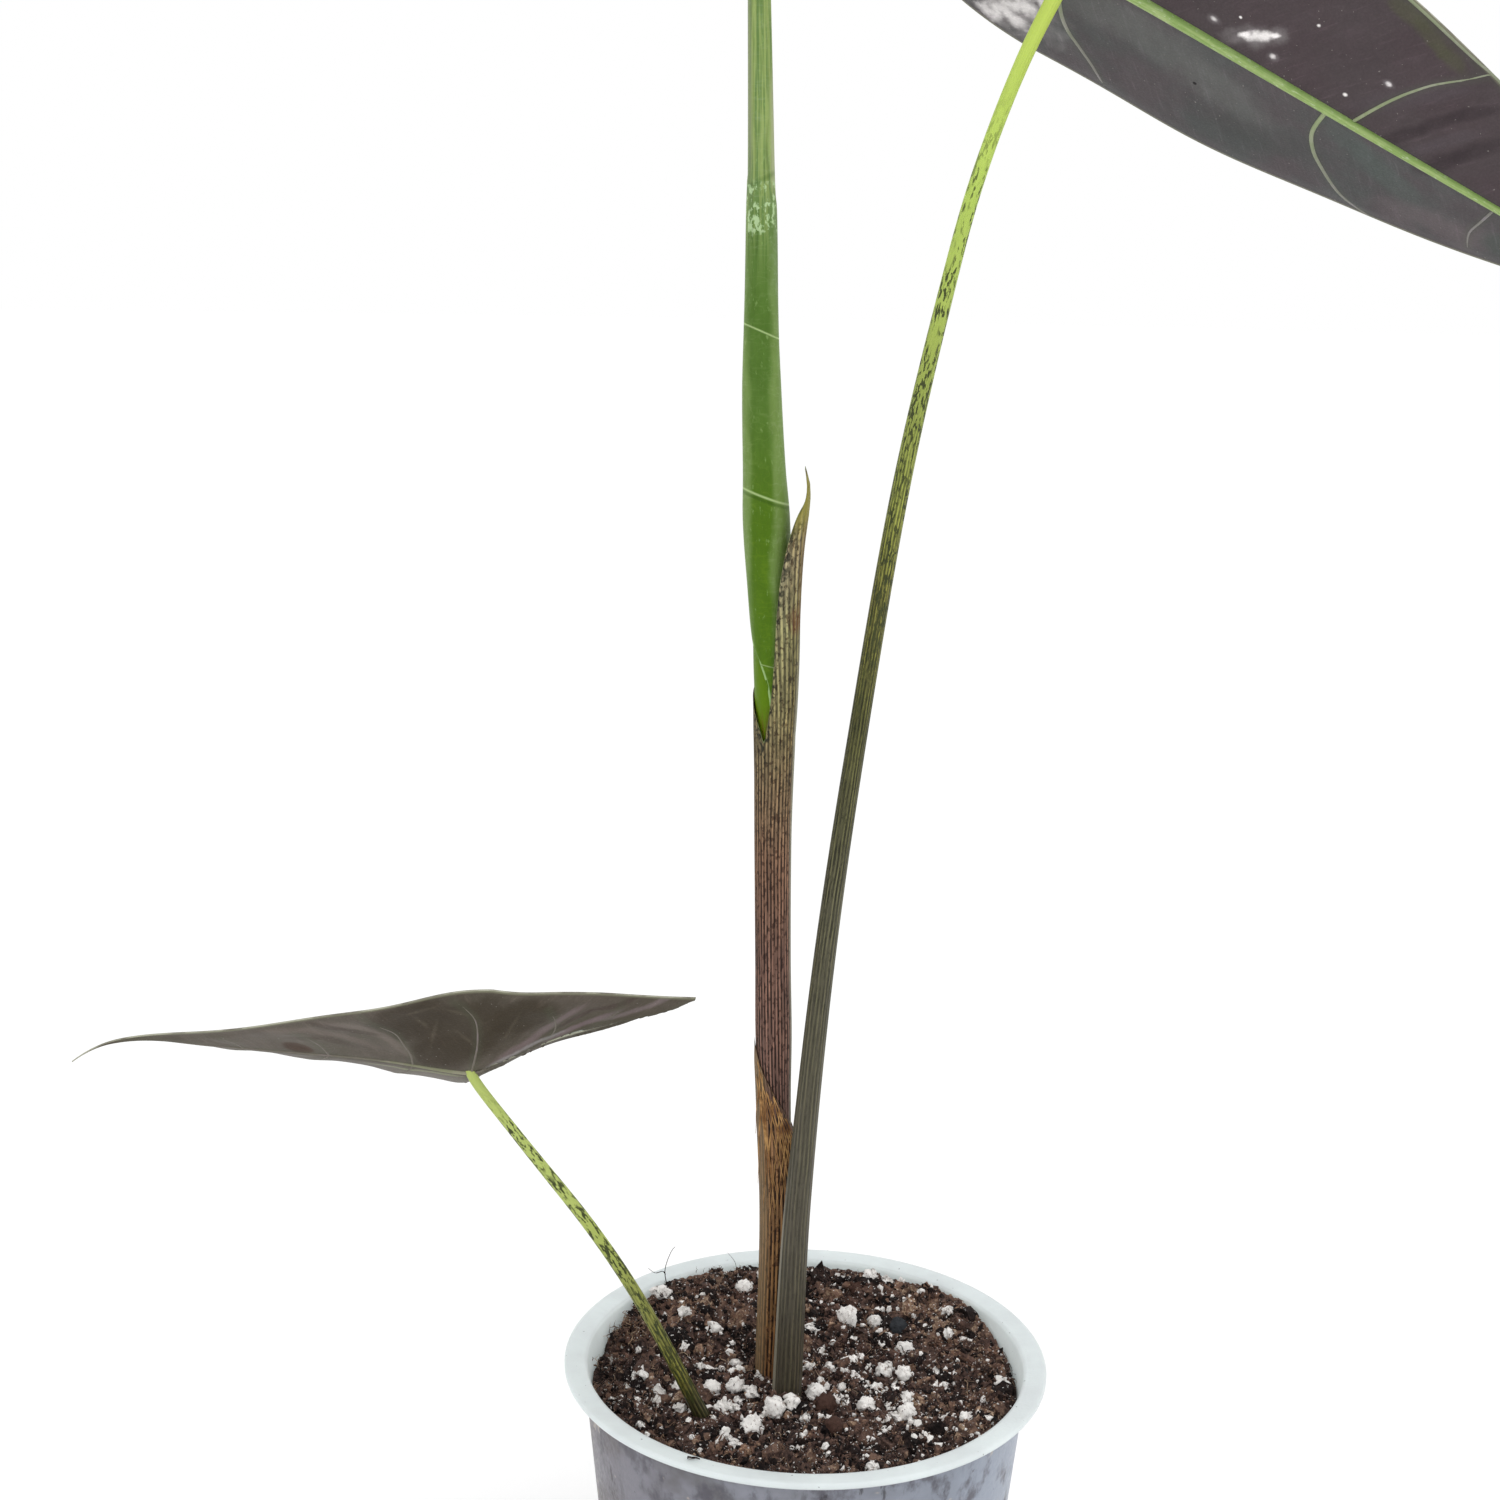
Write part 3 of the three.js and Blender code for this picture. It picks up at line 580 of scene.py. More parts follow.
class Look:
    """A material in the making, round its Principled shader"""

    def __init__(self, name, **constants):
        self.material = bpy.data.materials.new(name)
        self.material.use_nodes = True
        self.tree = self.material.node_tree
        self.shader = self.tree.nodes["Principled BSDF"]
        for key, value in {"Specular_IOR_Level": 0.2, **constants}.items():
            self.shader.inputs[key.replace("_", " ")].default_value = value

    def place(self):
        return Value(add(self.tree, "ShaderNodeTexCoord"), "Object")

    def read(self, name, output="Vector"):
        return Value(add(self.tree, "ShaderNodeAttribute", attribute_name=name), output)

    def finish(self, shown, relief=None, depth=0.1, **varying):
        """The material, with its colour, its relief to a depth in mm and what else varies"""
        if relief:
            inputs = {"Height": relief, "Distance": depth * MM, "Strength": 1.0}
            varying["Normal"] = Value(add(self.tree, "ShaderNodeBump", inputs))
        for key, value in {"Base_Color": shown, **varying}.items():
            self.tree.links.new(value.socket, self.shader.inputs[key.replace("_", " ")])
        return self.material


def stroke(width, *points):
    """The ovals that make up one brush stroke through points"""
    ovals = []
    for (x0, y0), (x1, y1) in zip(points, points[1:]):
        size, turn = hypot(x1 - x0, y1 - y0), degrees(atan2(y1 - y0, x1 - x0))
        ovals.append(((x0 + x1) / 2, (y0 + y1) / 2, 0.5 * size + width, width, turn))
    return ovals


# Pot

# A cone inside the wall's thickness: its lean, and its radius at the base in metres
WALL_LEAN = 0.102
WALL_FACE = 0.0384

# Painted glow: colour that the inner wall above the soil gives off as light, standing in for daylight through
# the wall
PAINTED_GLOW = Vector((0.92, 1, 0.96))

# Drainage holes round the base: how many, the radius of their ring, and their own
DRAIN_HOLES, DRAIN_RING, DRAIN_RADIUS = 8, 27, 3


def wall_radius(pot, height):
    """Outer radius of the pot's wall at a height"""
    top = pot.rim_radius - pot.rim_width
    return mix(pot.base_radius, top, height * MM / pot.height) / MM


def pot_profile(pot):
    """Half of the pot's section as (radius, height), from the middle of the base round to the floor"""
    top, rim, wall, floor = (v / MM for v in (pot.height, pot.rim_radius, pot.wall, pot.floor))
    under = top - 1.2
    inner = wall_radius(pot, top) - wall
    return [
        (0.01, 0.8), (22, 0.8), (23, 0), (pot.base_radius / MM - 1.6, 0),
        (pot.base_radius / MM - 0.5, 0.4), (wall_radius(pot, 1.6), 1.6),
        (wall_radius(pot, under - 3), under - 3), (wall_radius(pot, under) + 0.1, under - 0.7),
        (wall_radius(pot, under) + 0.7, under - 0.2), (rim - 0.9, under - 0.1), (rim - 0.25, under - 0.25),
        (rim, under + 0.15), (rim, top - 0.35), (rim - 0.3, top), (rim - 0.9, top - 0.05),
        (inner + 0.9, top - 0.35), (inner + 0.2, top - 0.6), (inner - 0.05, top - 1.3),
        (wall_radius(pot, top - 6) - wall, top - 6), (wall_radius(pot, floor + 1.5) - wall, floor + 1.5),
        (wall_radius(pot, floor) - wall - 1.2, floor), (24, floor), (23, floor + 0.3), (0.01, floor + 0.3),
    ]


def frosted_plastic(pot):
    """Milky plastic, clear enough that the soil behind it shows as soft dark patches"""
    look = Look(
        "Frosted plastic", Roughness=0.4, IOR=1.49, Subsurface_Weight=0.3, Subsurface_Radius=(1, 1, 1),
        Subsurface_Scale=0.002, Emission_Strength=0.13,
    )
    place = look.place()
    x, y, z = place.parts()
    past_cone = x.joined(y).vector("LENGTH", output="Value") - z * WALL_LEAN
    outside = past_cone.step(WALL_FACE, WALL_FACE + 0.0003)
    within = 1 - past_cone.step(WALL_FACE - 0.0003, WALL_FACE)
    covered = (1 - z.step(pot.height - 0.0018, pot.height - 0.0012)) * outside
    cloudy = place.mottle((45, 45, 60), 0.38, 0.66)
    patches = place.mottle((170, 170, 130), 0.5, 0.68, 8)
    drips = place.mottle((380, 380, 110), 0.56, 0.66, 6)
    streaked = place.mottle((60, 60, 30), 0.42, 0.56, 2)
    warm = place.mottle((230, 230, 230), 0.66, 0.72, 2)
    pale = place.mottle((70, 70, 40), 0.3, 0.75).between(pot.plastic, (208, 214, 215))
    behind = cloudy.between(pot.shadow, (98, 97, 98))
    # Painted light and shade: the wall is made paler and bluer towards the right, where the lamp is, and
    # darker and pinker towards the left
    behind = behind.toward((150, 158, 172), x.step(-0.01, 0.05))
    behind = behind.toward((86, 74, 76), (1 - x.step(-0.05, -0.01)) * 0.5)
    behind = behind.toward(pot.smudge, patches * 0.85)
    behind = behind.toward((58, 54, 58), drips * streaked * 0.9)
    behind = behind.toward((196, 184, 168), warm * 0.5)
    surface = pale.toward(behind, covered)
    specks = place.mottle((700, 700, 700), 0.72, 0.75, 2)
    surface = surface.toward(pot.smudge, specks * 0.6)
    rough = place.mottle((900, 900, 900), 0.3, 0.7, 2)
    # Painted glow: the inside of the wall above the soil gives off light of its own
    painted_glow = within.between((0, 0, 0), PAINTED_GLOW)
    return look.finish(surface, rough, 0.02, Roughness=rough * 0.15 + 0.32, Emission_Color=painted_glow)


class ALOCASIA_OT_pot(bpy.types.Operator):
    """Turn the nursery pot's section and cut its drainage holes"""

    bl_idname = "alocasia.pot"
    bl_label = "Pot"

    def execute(self, context):
        pot = context.scene.alocasia_pot
        bm = new_shape()
        verts = [bm.verts.new((r, 0, z)) for r, z in pot_profile(pot)]
        edges = [bm.edges.new(pair) for pair in zip(verts, verts[1:])]
        bmesh.ops.spin(
            bm, geom=verts + edges, axis=(0, 0, 1), cent=(0, 0, 0), angle=2 * pi, steps=160, use_merge=True,
        )
        bmesh.ops.remove_doubles(bm, verts=bm.verts, dist=0.03)
        rims = [e for e in bm.edges if e.is_boundary]
        if rims:
            bmesh.ops.holes_fill(bm, edges=rims, sides=0)
        bmesh.ops.recalc_face_normals(bm, faces=bm.faces)
        piece = finish_piece(bm, "nursery_pot", "pot", [frosted_plastic(pot)], ["pot"], turn_out=False)
        cutters = new_shape()
        for number in range(DRAIN_HOLES):
            bearing = radians(360 / DRAIN_HOLES * number)
            spot = Matrix.Translation((DRAIN_RING * cos(bearing), DRAIN_RING * sin(bearing), 0))
            bmesh.ops.create_cone(
                cutters, cap_ends=True, segments=32, radius1=DRAIN_RADIUS, radius2=DRAIN_RADIUS, depth=8,
                matrix=spot,
            )
        bmesh.ops.scale(cutters, vec=(MM, MM, MM), verts=cutters.verts)
        mesh = bpy.data.meshes.new("drain_holes")
        cutters.to_mesh(mesh)
        cutters.free()
        holes = bpy.data.objects.new("drain_holes", mesh)
        context.scene.collection.objects.link(holes)
        cut = piece.modifiers.new("Drain holes", "BOOLEAN")
        cut.operation, cut.solver, cut.object = "DIFFERENCE", "EXACT", holes
        bake_modifiers(piece)
        bpy.data.objects.remove(holes)
        return {"FINISHED"}


def bake_modifiers(piece):
    """Replaces a piece's mesh by what its modifiers make of it"""
    bpy.context.view_layer.update()
    graph = bpy.context.evaluated_depsgraph_get()
    made = bpy.data.meshes.new_from_object(piece.evaluated_get(graph))
    piece.modifiers.clear()
    old, piece.data = piece.data, made
    made.name = piece.name
    bpy.data.meshes.remove(old)


# Soil

def mound(x, y, a, b, reach):
    """1 at the place (a, b), falling off softly round it"""
    return exp(-((x - a) ** 2 + (y - b) ** 2) / reach)


def soil_lump(x, y):
    """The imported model's rounded lumps, between -1 and 1"""
    coarse = sin(0.31 * x + 1.3 * sin(0.19 * y)) * cos(0.27 * y + sin(0.23 * x))
    fine = sin(0.83 * x + 0.6) * sin(0.77 * y + 0.9 * sin(0.4 * x))
    return 0.6 * coarse + 0.4 * fine


class Ground:
    """The soil's surface, heaped towards the back: its height anywhere inside the pot"""

    def __init__(self, pot, soil):
        self.level, self.relief, self.heap = (v / MM for v in (soil.height, soil.relief, soil.heap))
        self.radius = wall_radius(pot, self.level) - pot.wall / MM - 0.4

    def smooth(self, x, y):
        lump = self.relief * soil_lump(x, y) * max(1 - (hypot(x, y) / self.radius) ** 8, 0)
        return self.level + self.heap * ease(y, 4, 40) + lump

    def bumps(self, x, y):
        """Clods and grit, which stand proud of the smooth surface or lie below it"""
        place = Vector((x, y, 3.0))
        clods = noise.fractal(place / 5.5, 1.0, 2.2, 3) * 1.5
        grit = noise.fractal(place / 1.4, 0.7, 2.1, 3) * 0.85
        hollow = 1.6 * mound(x, y, -12, 12.7, 14) + 1.3 * mound(x, y, -22.5, -15.5, 9)
        edge = ease(hypot(x, y) / self.radius, 0.86, 1.0)
        left, right = (
            mound(x, y, a, b, 260) * ease(hypot(x, y) / self.radius, 0.5, 0.85)
            for a, b in ((-27, 30), (34, 26))
        )
        return (clods + grit) * (1 - 0.3 * edge) - hollow - 0.4 * edge + 2.2 * left + 2.6 * right

    def height(self, x, y):
        return self.smooth(x, y) + self.bumps(x, y)


def moist_soil(soil, name, bright=0.0):
    """Peat and bark mix: near black in the gaps and lighter on the tops, as painted shade and light, brown on
    the crumbs and rusty in the fibres
    """
    look = Look(name, Roughness=0.9)
    place = look.place()
    grain = place.mottle((1100, 1100, 1100), 0.3, 0.7, 6)
    patch = place.mottle((150, 150, 150), 0.42, 0.66)
    # On the soil's surface the read value paints shade and light, low in the hollows and high on the tops; on
    # the crumbs it is their own tone
    tone_and_painted_shade = look.read(NEAR, "Fac") * 0.72 + grain * 0.3
    shown = (tone_and_painted_shade + bright).ramp(
        (0.12, (20, 15, 15)), (0.36, soil.dark), (0.6, soil.brown), (0.82, soil.rust), (1, soil.tan),
    )
    shown = shown.tinted(patch * 0.5, 1.35, 1.2, 1.1)
    dust = place.mottle((1500, 1500, 1500), 0.675, 0.71, 1)
    shown = shown.toward(soil.perlite, dust * 0.75)
    return look.finish(shown, grain, 0.3)


def dusty_grain(name, clean, stain, amount=0.5):
    """A rough grain with patches of dirt, dark specks and thin dark crease lines of painted shade"""
    look = Look(name, Roughness=0.85)
    place = look.place()
    soft = place.mottle((260, 260, 260), 0.45, 0.75)
    dirt = place.mottle((560, 560, 560), 0.6, 0.68, 6)
    specks = place.mottle((1700, 1700, 1700), 0.66, 0.7, 2)
    worn = [mix(a, b, 0.3) for a, b in zip(as_linear(clean), as_linear(stain))]
    shown = (soft * 0.2).between(clean, worn)
    shown = shown.toward(stain, dirt * amount)
    # Painted shade: thin dark lines where creases would be shaded
    crease_shade = place.squiggles((520, 520, 520), 0.025, 0.5)
    shown = shown.tinted(crease_shade * 0.6, 0.4, 0.34, 0.32)
    shown = shown.tinted(specks * 0.85, 0.2, 0.15, 0.14)
    height = place.mottle((1800, 1800, 1800), 0.2, 0.8, 6)
    return look.finish(shown, height, 0.2)


def crumb_shapes(number, rounds, seed):
    """A few rough lumps of unit size"""
    shapes = []
    for i in range(number):
        shape = new_shape()
        bmesh.ops.create_icosphere(shape, subdivisions=rounds, radius=1)
        roughen(shape, 0.85, 0.75, seed + i)
        shapes.append(shape)
    return shapes


def random_turn(draw):
    axis = Vector((draw.gauss(0, 1), draw.gauss(0, 1), draw.gauss(0, 1))).normalized()
    return Matrix.Rotation(draw.uniform(0, 2 * pi), 4, axis)


def settled(ground, draw, x, y, size, sink):
    """A chance turn and stretch that rests a lump of this size on the soil"""
    stretch = Matrix.Diagonal([size * draw.uniform(0.55, 1.35) for _ in range(3)] + [1])
    spot = Matrix.Translation((x, y, ground.height(x, y) - sink * size))
    return spot @ random_turn(draw) @ stretch


def loose_places(ground, draw, number, kinds, sizes, sink=0.25, keep=None):
    """Chance places on the soil, with more small bits than large ones, more dark than light, and painted
    light that makes bits lighter towards the right
    """
    found = []
    while len(found) < number:
        x, y = (draw.uniform(-1, 1) * ground.radius for _ in range(2))
        size = mix(sizes[0], sizes[1], draw.random() ** 3.2)
        if hypot(x, y) > ground.radius - 0.4 - size or (keep and not keep(x, y, draw)):
            continue
        # Painted light: bits further to the right, towards the lamp, are made lighter
        lit_from_right = 0.12 * ease(x, 5, 40)
        shade = clamp(draw.random() ** 1.35 + lit_from_right)
        found.append((draw.randrange(kinds), settled(ground, draw, x, y, size, sink), shade))
    return found


def fibre_shapes(number, seed):
    """Thin tapering fibres, one unit long, each with its own curl"""
    shapes = []
    draw = random.Random(seed)
    for _ in range(number):
        a, b, c, d = (draw.uniform(-1, 1) for _ in range(4))
        line = Axis([
            (0, 0, 0), (0.25 * a, 0.2 * b, 0.24), (0.4 * c, 0.34 * a, 0.42), (0.14 * d, 0.5 * b, 0.6),
            (0.36 * b, 0.3 * c, 0.8),
        ])
        shape = new_shape()
        add_stalk(shape, line, lambda t, _: 0.045 * (1.15 - t), 3, 6)
        shapes.append(shape)
    return shapes


# How high the loose fibres reach round the soil's edge, by bearing
FRINGE = (
    (0, 88.6), (20, 90.6), (38, 93), (55, 94), (72, 94), (90, 94.2), (112, 95.2), (135, 94.8), (155, 92.8),
    (180, 90.4), (250, 88.8), (360, 88.6),
)

# Fine roots that stand out of the soil at the back, and a crumb of bark on the rim: points and radius
ROOTS = (
    (((-31.4, 34, 88.5), (-31.6, 34, 91.5), (-32.1, 34, 95.8), (-30.5, 34, 100.8), (-29.6, 34, 101.9)), 0.14),
    (((-31.9, 34, 94.6), (-32.6, 34, 95.4), (-34.4, 34, 95), (-36.1, 34, 96.2)), 0.11),
    (((-14.6, 34, 89), (-15.2, 34, 94), (-15.8, 34, 98.1), (-17.7, 34, 100.6)), 0.09),
    (((-24.4, -43.7, 93.15), (-23.6, -44, 93.25), (-22.6, -43.9, 93.2), (-21.8, -44.3, 93.15)), 0.3),
)


class ALOCASIA_OT_soil(bpy.types.Operator):
    """Lay the soil and scatter its crumbs, fibres and fine roots"""

    bl_idname = "alocasia.soil"
    bl_label = "Soil"

    def execute(self, context):
        pot, soil = context.scene.alocasia_pot, context.scene.alocasia_soil
        ground = Ground(pot, soil)
        earth = moist_soil(soil, "Moist soil")
        fluff = moist_soil(soil, "Peat fibre", 0.12)
        floor = pot.floor / MM + 0.3
        bottom = wall_radius(pot, floor) - pot.wall / MM - 0.5
        bm = new_shape()

        def place(u, v):
            a, b = 2 * u - 1, 2 * v - 1
            x = ground.radius * a * (1 - b * b / 2) ** 0.5
            y = ground.radius * b * (1 - a * a / 2) ** 0.5
            bump = ground.bumps(x, y)
            # The third value paints light and shade: points below the smooth surface get darker soil colours,
            # points above it lighter ones
            return Vector((x, y, ground.smooth(x, y) + bump)), Vector((x, y, 0)), clamp(0.42 + 0.24 * bump)
        add_grid(bm, 200, 200, place)
        brim = [edge for edge in bm.edges if edge.is_boundary]
        walls = bmesh.ops.extrude_edge_only(bm, edges=brim)["geom"]
        lower = [part for part in walls if isinstance(part, bmesh.types.BMVert)]
        for vert in lower:
            out = hypot(vert.co.x, vert.co.y)
            vert.co = Vector((vert.co.x * bottom / out, vert.co.y * bottom / out, floor))
        bmesh.ops.holes_fill(bm, edges=[edge for edge in bm.edges if edge.is_boundary], sides=0)
        finish_piece(bm, "potting_soil", "soil", [earth], ["soil"])

        draw = random.Random(11)
        small = loose_places(ground, draw, soil.crumbs, 5, (0.18, 0.95))
        finish_piece(scatter(crumb_shapes(5, 1, 3), small), "soil_crumbs", "soil", [earth], **LOOSE)
        large = loose_places(ground, draw, soil.crumbs // 10, 5, (0.8, 2.4), 0.4)
        bm = scatter(crumb_shapes(5, 2, 23), large)
        roughen(bm, 0.5, 0.8, 2)
        finish_piece(bm, "soil_clods", "soil", [earth], **LOOSE)

        hairs, rim_crumbs = [], []
        tufts = [(draw.uniform(0, 360), draw.uniform(0.2, 1.35)) for _ in range(56)]
        tufts += [(draw.gauss(157, 3), 1.1) for _ in range(4)]
        for number in range(soil.fibres):
            rim = number % 5 > 2
            if rim:
                centre, strength = draw.choice(tufts)
                bearing, out = draw.gauss(centre, 2.2), ground.radius * draw.uniform(0.86, 0.985)
            else:
                bearing, out = draw.uniform(0, 360), ground.radius * draw.random() ** 0.5 * 0.95
            x, y = out * cos(radians(bearing)), out * sin(radians(bearing))
            z = ground.height(x, y)
            size, lean = draw.uniform(1.5, 4.2), draw.gauss(pi / 2, 0.3)
            lift = 0.05
            if rim:
                reach = max(along(FRINGE, bearing % 360) - z, 0.8) * strength
                size = max(1.2, reach * draw.uniform(0.35, 0.8))
                lean, lift = draw.gauss(0, 0.9), max(reach - size, 0) * draw.random()
                if number % 2:
                    spot = Matrix.Translation((x, y, z + lift * 0.8))
                    lump = Matrix.Diagonal([draw.uniform(0.25, 1.1) for _ in range(3)] + [1])
                    rim_crumbs.append((
                        draw.randrange(5), spot @ random_turn(draw) @ lump, draw.random() ** 1.2,
                    ))
            turned = Matrix.Rotation(draw.uniform(0, 2 * pi), 4, "Z") @ Matrix.Rotation(lean, 4, "Y")
            shade = clamp(draw.gauss(0.5, 0.25) + (0.2 if abs(bearing - 157) < 8 else 0))
            spot = Matrix.Translation((x, y, z + lift))
            hairs.append((draw.randrange(9), spot @ turned @ Matrix.Scale(size, 4), shade))
        finish_piece(scatter(crumb_shapes(5, 1, 33), rim_crumbs), "edge_crumbs", "soil", [earth], **LOOSE)
        finish_piece(scatter(fibre_shapes(9, 5), hairs), "soil_fibres", "soil", [fluff], turn_out=False)

        bm = new_shape()
        for points, thick in ROOTS:
            add_stalk(bm, Axis(points), lambda t, _: thick * (1.1 - 0.7 * t), 6, 24)
        finish_piece(bm, "fine_roots", "soil", [fluff])
        return {"FINISHED"}


# Perlite crumbs that are too small to be solids of their own: place on the soil and radius
PERLITE_BITS = (
    (33, 23.7, 1.4), (32.9, 16.4, 1.3), (2.1, 19.2, 1.6), (19.3, 16.6, 1.4), (5.8, 5.3, 1.2), (1.8, 6.4, 1.2),
    (29.2, 3.8, 1.1), (-32.6, 29.6, 1.6), (43.5, 0.7, 1.3), (-15, -25.8, 1.3), (-0.2, -17.1, 1.4),
    (-24.7, -14.4, 1), (23.3, 38.8, 1.3), (12.4, 19.5, 1.2), (17.6, 15, 1.2), (0.4, 3.2, 1.1),
    (3.6, -0.4, 1.2),
    (15.7, -1.6, 1.3), (19.2, -14.9, 1.1), (13.1, -35.3, 1.2), (16.2, 39.5, 1.4), (20, 39.1, 1.3),
    (18.6, 4.4, 1.4), (-11.3, -5.4, 1.4), (-8.6, 2.1, 1.4), (-16.2, -13.4, 1.3), (-14.7, -9.6, 1),
    (-12.6, -3.6, 1.1), (-3.1, -11.7, 1.2), (-35.9, 0, 1.3), (-31.4, -5.8, 1.4), (-27.6, -4.1, 1.2),
    (-26.9, -14.7, 1.2), (-23.1, 5.7, 1.2), (-15.3, 4, 1.3), (-27.2, 22, 1.5), (-20, 18.5, 1.1),
    (-26.8, 12, 0.9), (-39, -3.6, 0.8), (-42.7, 7.4, 0.8), (-37.1, 10.8, 0.8), (-34.8, -21.2, 1.2),
    (-17.4, -25.8, 1.4), (-15.3, -29.5, 1.2), (8.2, -2.7, 1.1), (27.7, 31.4, 0.9), (12.4, -10.4, 1.3),
    (22.4, -18.3, 1.3), (21.9, -9, 1.3), (-5.3, 13.2, 1.1), (-3, 14.7, 1),
)


class ALOCASIA_OT_grains(bpy.types.Operator):
    """Round off and roughen the perlite, charcoal and bark grains, and add the small ones"""

    bl_idname = "alocasia.grains"
    bl_label = "Grains"

    def execute(self, context):
        pot, soil = context.scene.alocasia_pot, context.scene.alocasia_soil
        looks = {
            "perlite": dusty_grain("Perlite", soil.perlite, soil.stain, 0.7),
            "charcoal": dusty_grain("Charcoal", (54, 57, 61), (34, 34, 36)),
            "bark": dusty_grain("Bark", (78, 56, 48), (38, 28, 26), 0.9),
        }
        for number, (name, node) in enumerate(sorted(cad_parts.items())):
            kind = name.split("_")[0]
            if kind not in looks:
                continue
            bm = new_shape()
            bm.from_mesh(node.data)
            bmesh.ops.scale(bm, vec=(1 / MM, 1 / MM, 1 / MM), verts=bm.verts)
            bmesh.ops.remove_doubles(bm, verts=bm.verts, dist=1e-3)
            wide = max(vert.co.x for vert in bm.verts) - min(vert.co.x for vert in bm.verts)
            bmesh.ops.subdivide_edges(bm, edges=bm.edges, cuts=4, use_grid_fill=True)
            for _ in range(3 if kind == "perlite" else 1):
                bmesh.ops.smooth_vert(
                    bm, verts=bm.verts, factor=0.5, use_axis_x=True, use_axis_y=True, use_axis_z=True,
                )
            centre = sum((vert.co for vert in bm.verts), Vector()) / len(bm.verts)
            grow = wide / (max(vert.co.x for vert in bm.verts) - min(vert.co.x for vert in bm.verts))
            bmesh.ops.scale(bm, vec=(grow, grow, grow), space=Matrix.Translation(-centre), verts=bm.verts)
            cobble(bm, 1.3, 1.25)
            roughen(bm, 0.22, 0.55, number + 50)
            finish_piece(bm, "grain_" + name, kind, [looks[kind]], [name])

        ground = Ground(pot, soil)
        draw = random.Random(77)
        bm = scatter(crumb_shapes(4, 3, 40), [
            (number % 4, settled(ground, draw, x, y, size, -0.3), 0)
            for number, (x, y, size) in enumerate(PERLITE_BITS)
        ])
        cobble(bm, 0.9, 0.9)
        finish_piece(bm, "perlite_bits", "perlite", [looks["perlite"]], turn_out=False)

        def favoured(x, y, chance):
            nearby = mound(x, y, 10, -6, 700)
            clumps = ease(soil_lump(1.7 * x + 9, 1.7 * y - 4), -0.1, 0.5)
            return chance.random() < 0.06 + 0.94 * nearby * clumps
        dust = loose_places(ground, draw, soil.specks, 6, (0.13, 0.8), -0.3, favoured)
        bm = scatter(crumb_shapes(6, 1, 60), dust)
        finish_piece(bm, "perlite_dust", "perlite", [looks["perlite"]], **LOOSE)
        return {"FINISHED"}


# Stems

def petiole_skin(stem, name, size, ribs, shades, lined, flecked, footed=False):
    """Petiole skin: a gradient by height, fine dark lines lengthwise and flecks along them"""
    look = Look(
        name, Roughness=0.42, Subsurface_Weight=0.1, Subsurface_Radius=(1, 1.2, 0.5),
        Subsurface_Scale=0.001,
    )
    place = look.read(LAY)
    x, _, height = place.parts()
    part = height / size
    shown = part.ramp(*shades)
    soft = place.mottle((0.6, 0.6, 0.05), 0.3, 0.7, 3)
    shown = shown.tinted(soft * 0.4, 0.78, 0.82, 0.72)
    lines = place.ribbing(ribs, 8)
    fine = place.ribbing(ribs * 2.3, 14)
    whole = place.mottle((1.6, 1.6, 0.2), 0.38, 0.56, 5)
    strong = part.band(*lined) * 0.5 + 0.5
    strong = strong * (1 - part.step(lined[1][0] - 0.05, lined[1][1]))
    dark = lines.step(0.4, 0.75) * whole * strong
    shown = shown.tinted(dark * 0.95, 0.26, 0.27, 0.22)
    shown = shown.tinted(fine.step(0.6, 0.95) * strong * 0.5, 0.55, 0.57, 0.5)
    streaky = place.mottle((1.8, 1.8, 0.1), 0.36, 0.6, 4)
    bright = (1 - lines.step(0.08, 0.4)) * strong * streaky * 0.95
    shown = shown.tinted(bright, 2.2, 2.2, 1.9)
    dashes = place.mottle((3.2, 3.2, 0.8), 0.55, 0.62, 3) * strong * 0.7
    shown = shown.tinted(dashes, 0.35, 0.36, 0.32)
    flecks = place.mottle((2, 2, 0.5), 0.51, 0.555, 4)
    patchy = place.mottle((0.35, 0.35, 0.12), 0.3, 0.44, 2)
    shown = shown.toward(stem.fleck, flecks * patchy * part.band(*flecked) * 0.95)
    if footed:
        side = (1 - x.step(-3, -2.75)) * part.band((0.04, 0.06), (0.28, 0.32))
        shown = shown.toward((150, 144, 128), side * 0.6)
    relief = lines * 0.6 + soft * 0.5
    return look.finish(shown, relief, 0.07)


def wing(t, bearing):
    """The thin wing that an old sheath leaves along the large petiole's left side"""
    on_side = max(0, cos(radians(bearing - 180))) ** 12
    return 0.5 * on_side * ease(0.3 - t, 0, 0.12)


def under_blade(leaf):
    """Keeps a petiole's end below the blade's upper face"""
    matrix = leaf_matrix(leaf)
    back = matrix.inverted()

    def limit(point):
        local = back @ point
        roof = blade_height(leaf, local.x, local.y) - 0.4
        if local.z > roof and hypot(local.x, local.y) < 12:
            local.z = roof
            return matrix @ local
        return point
    return limit


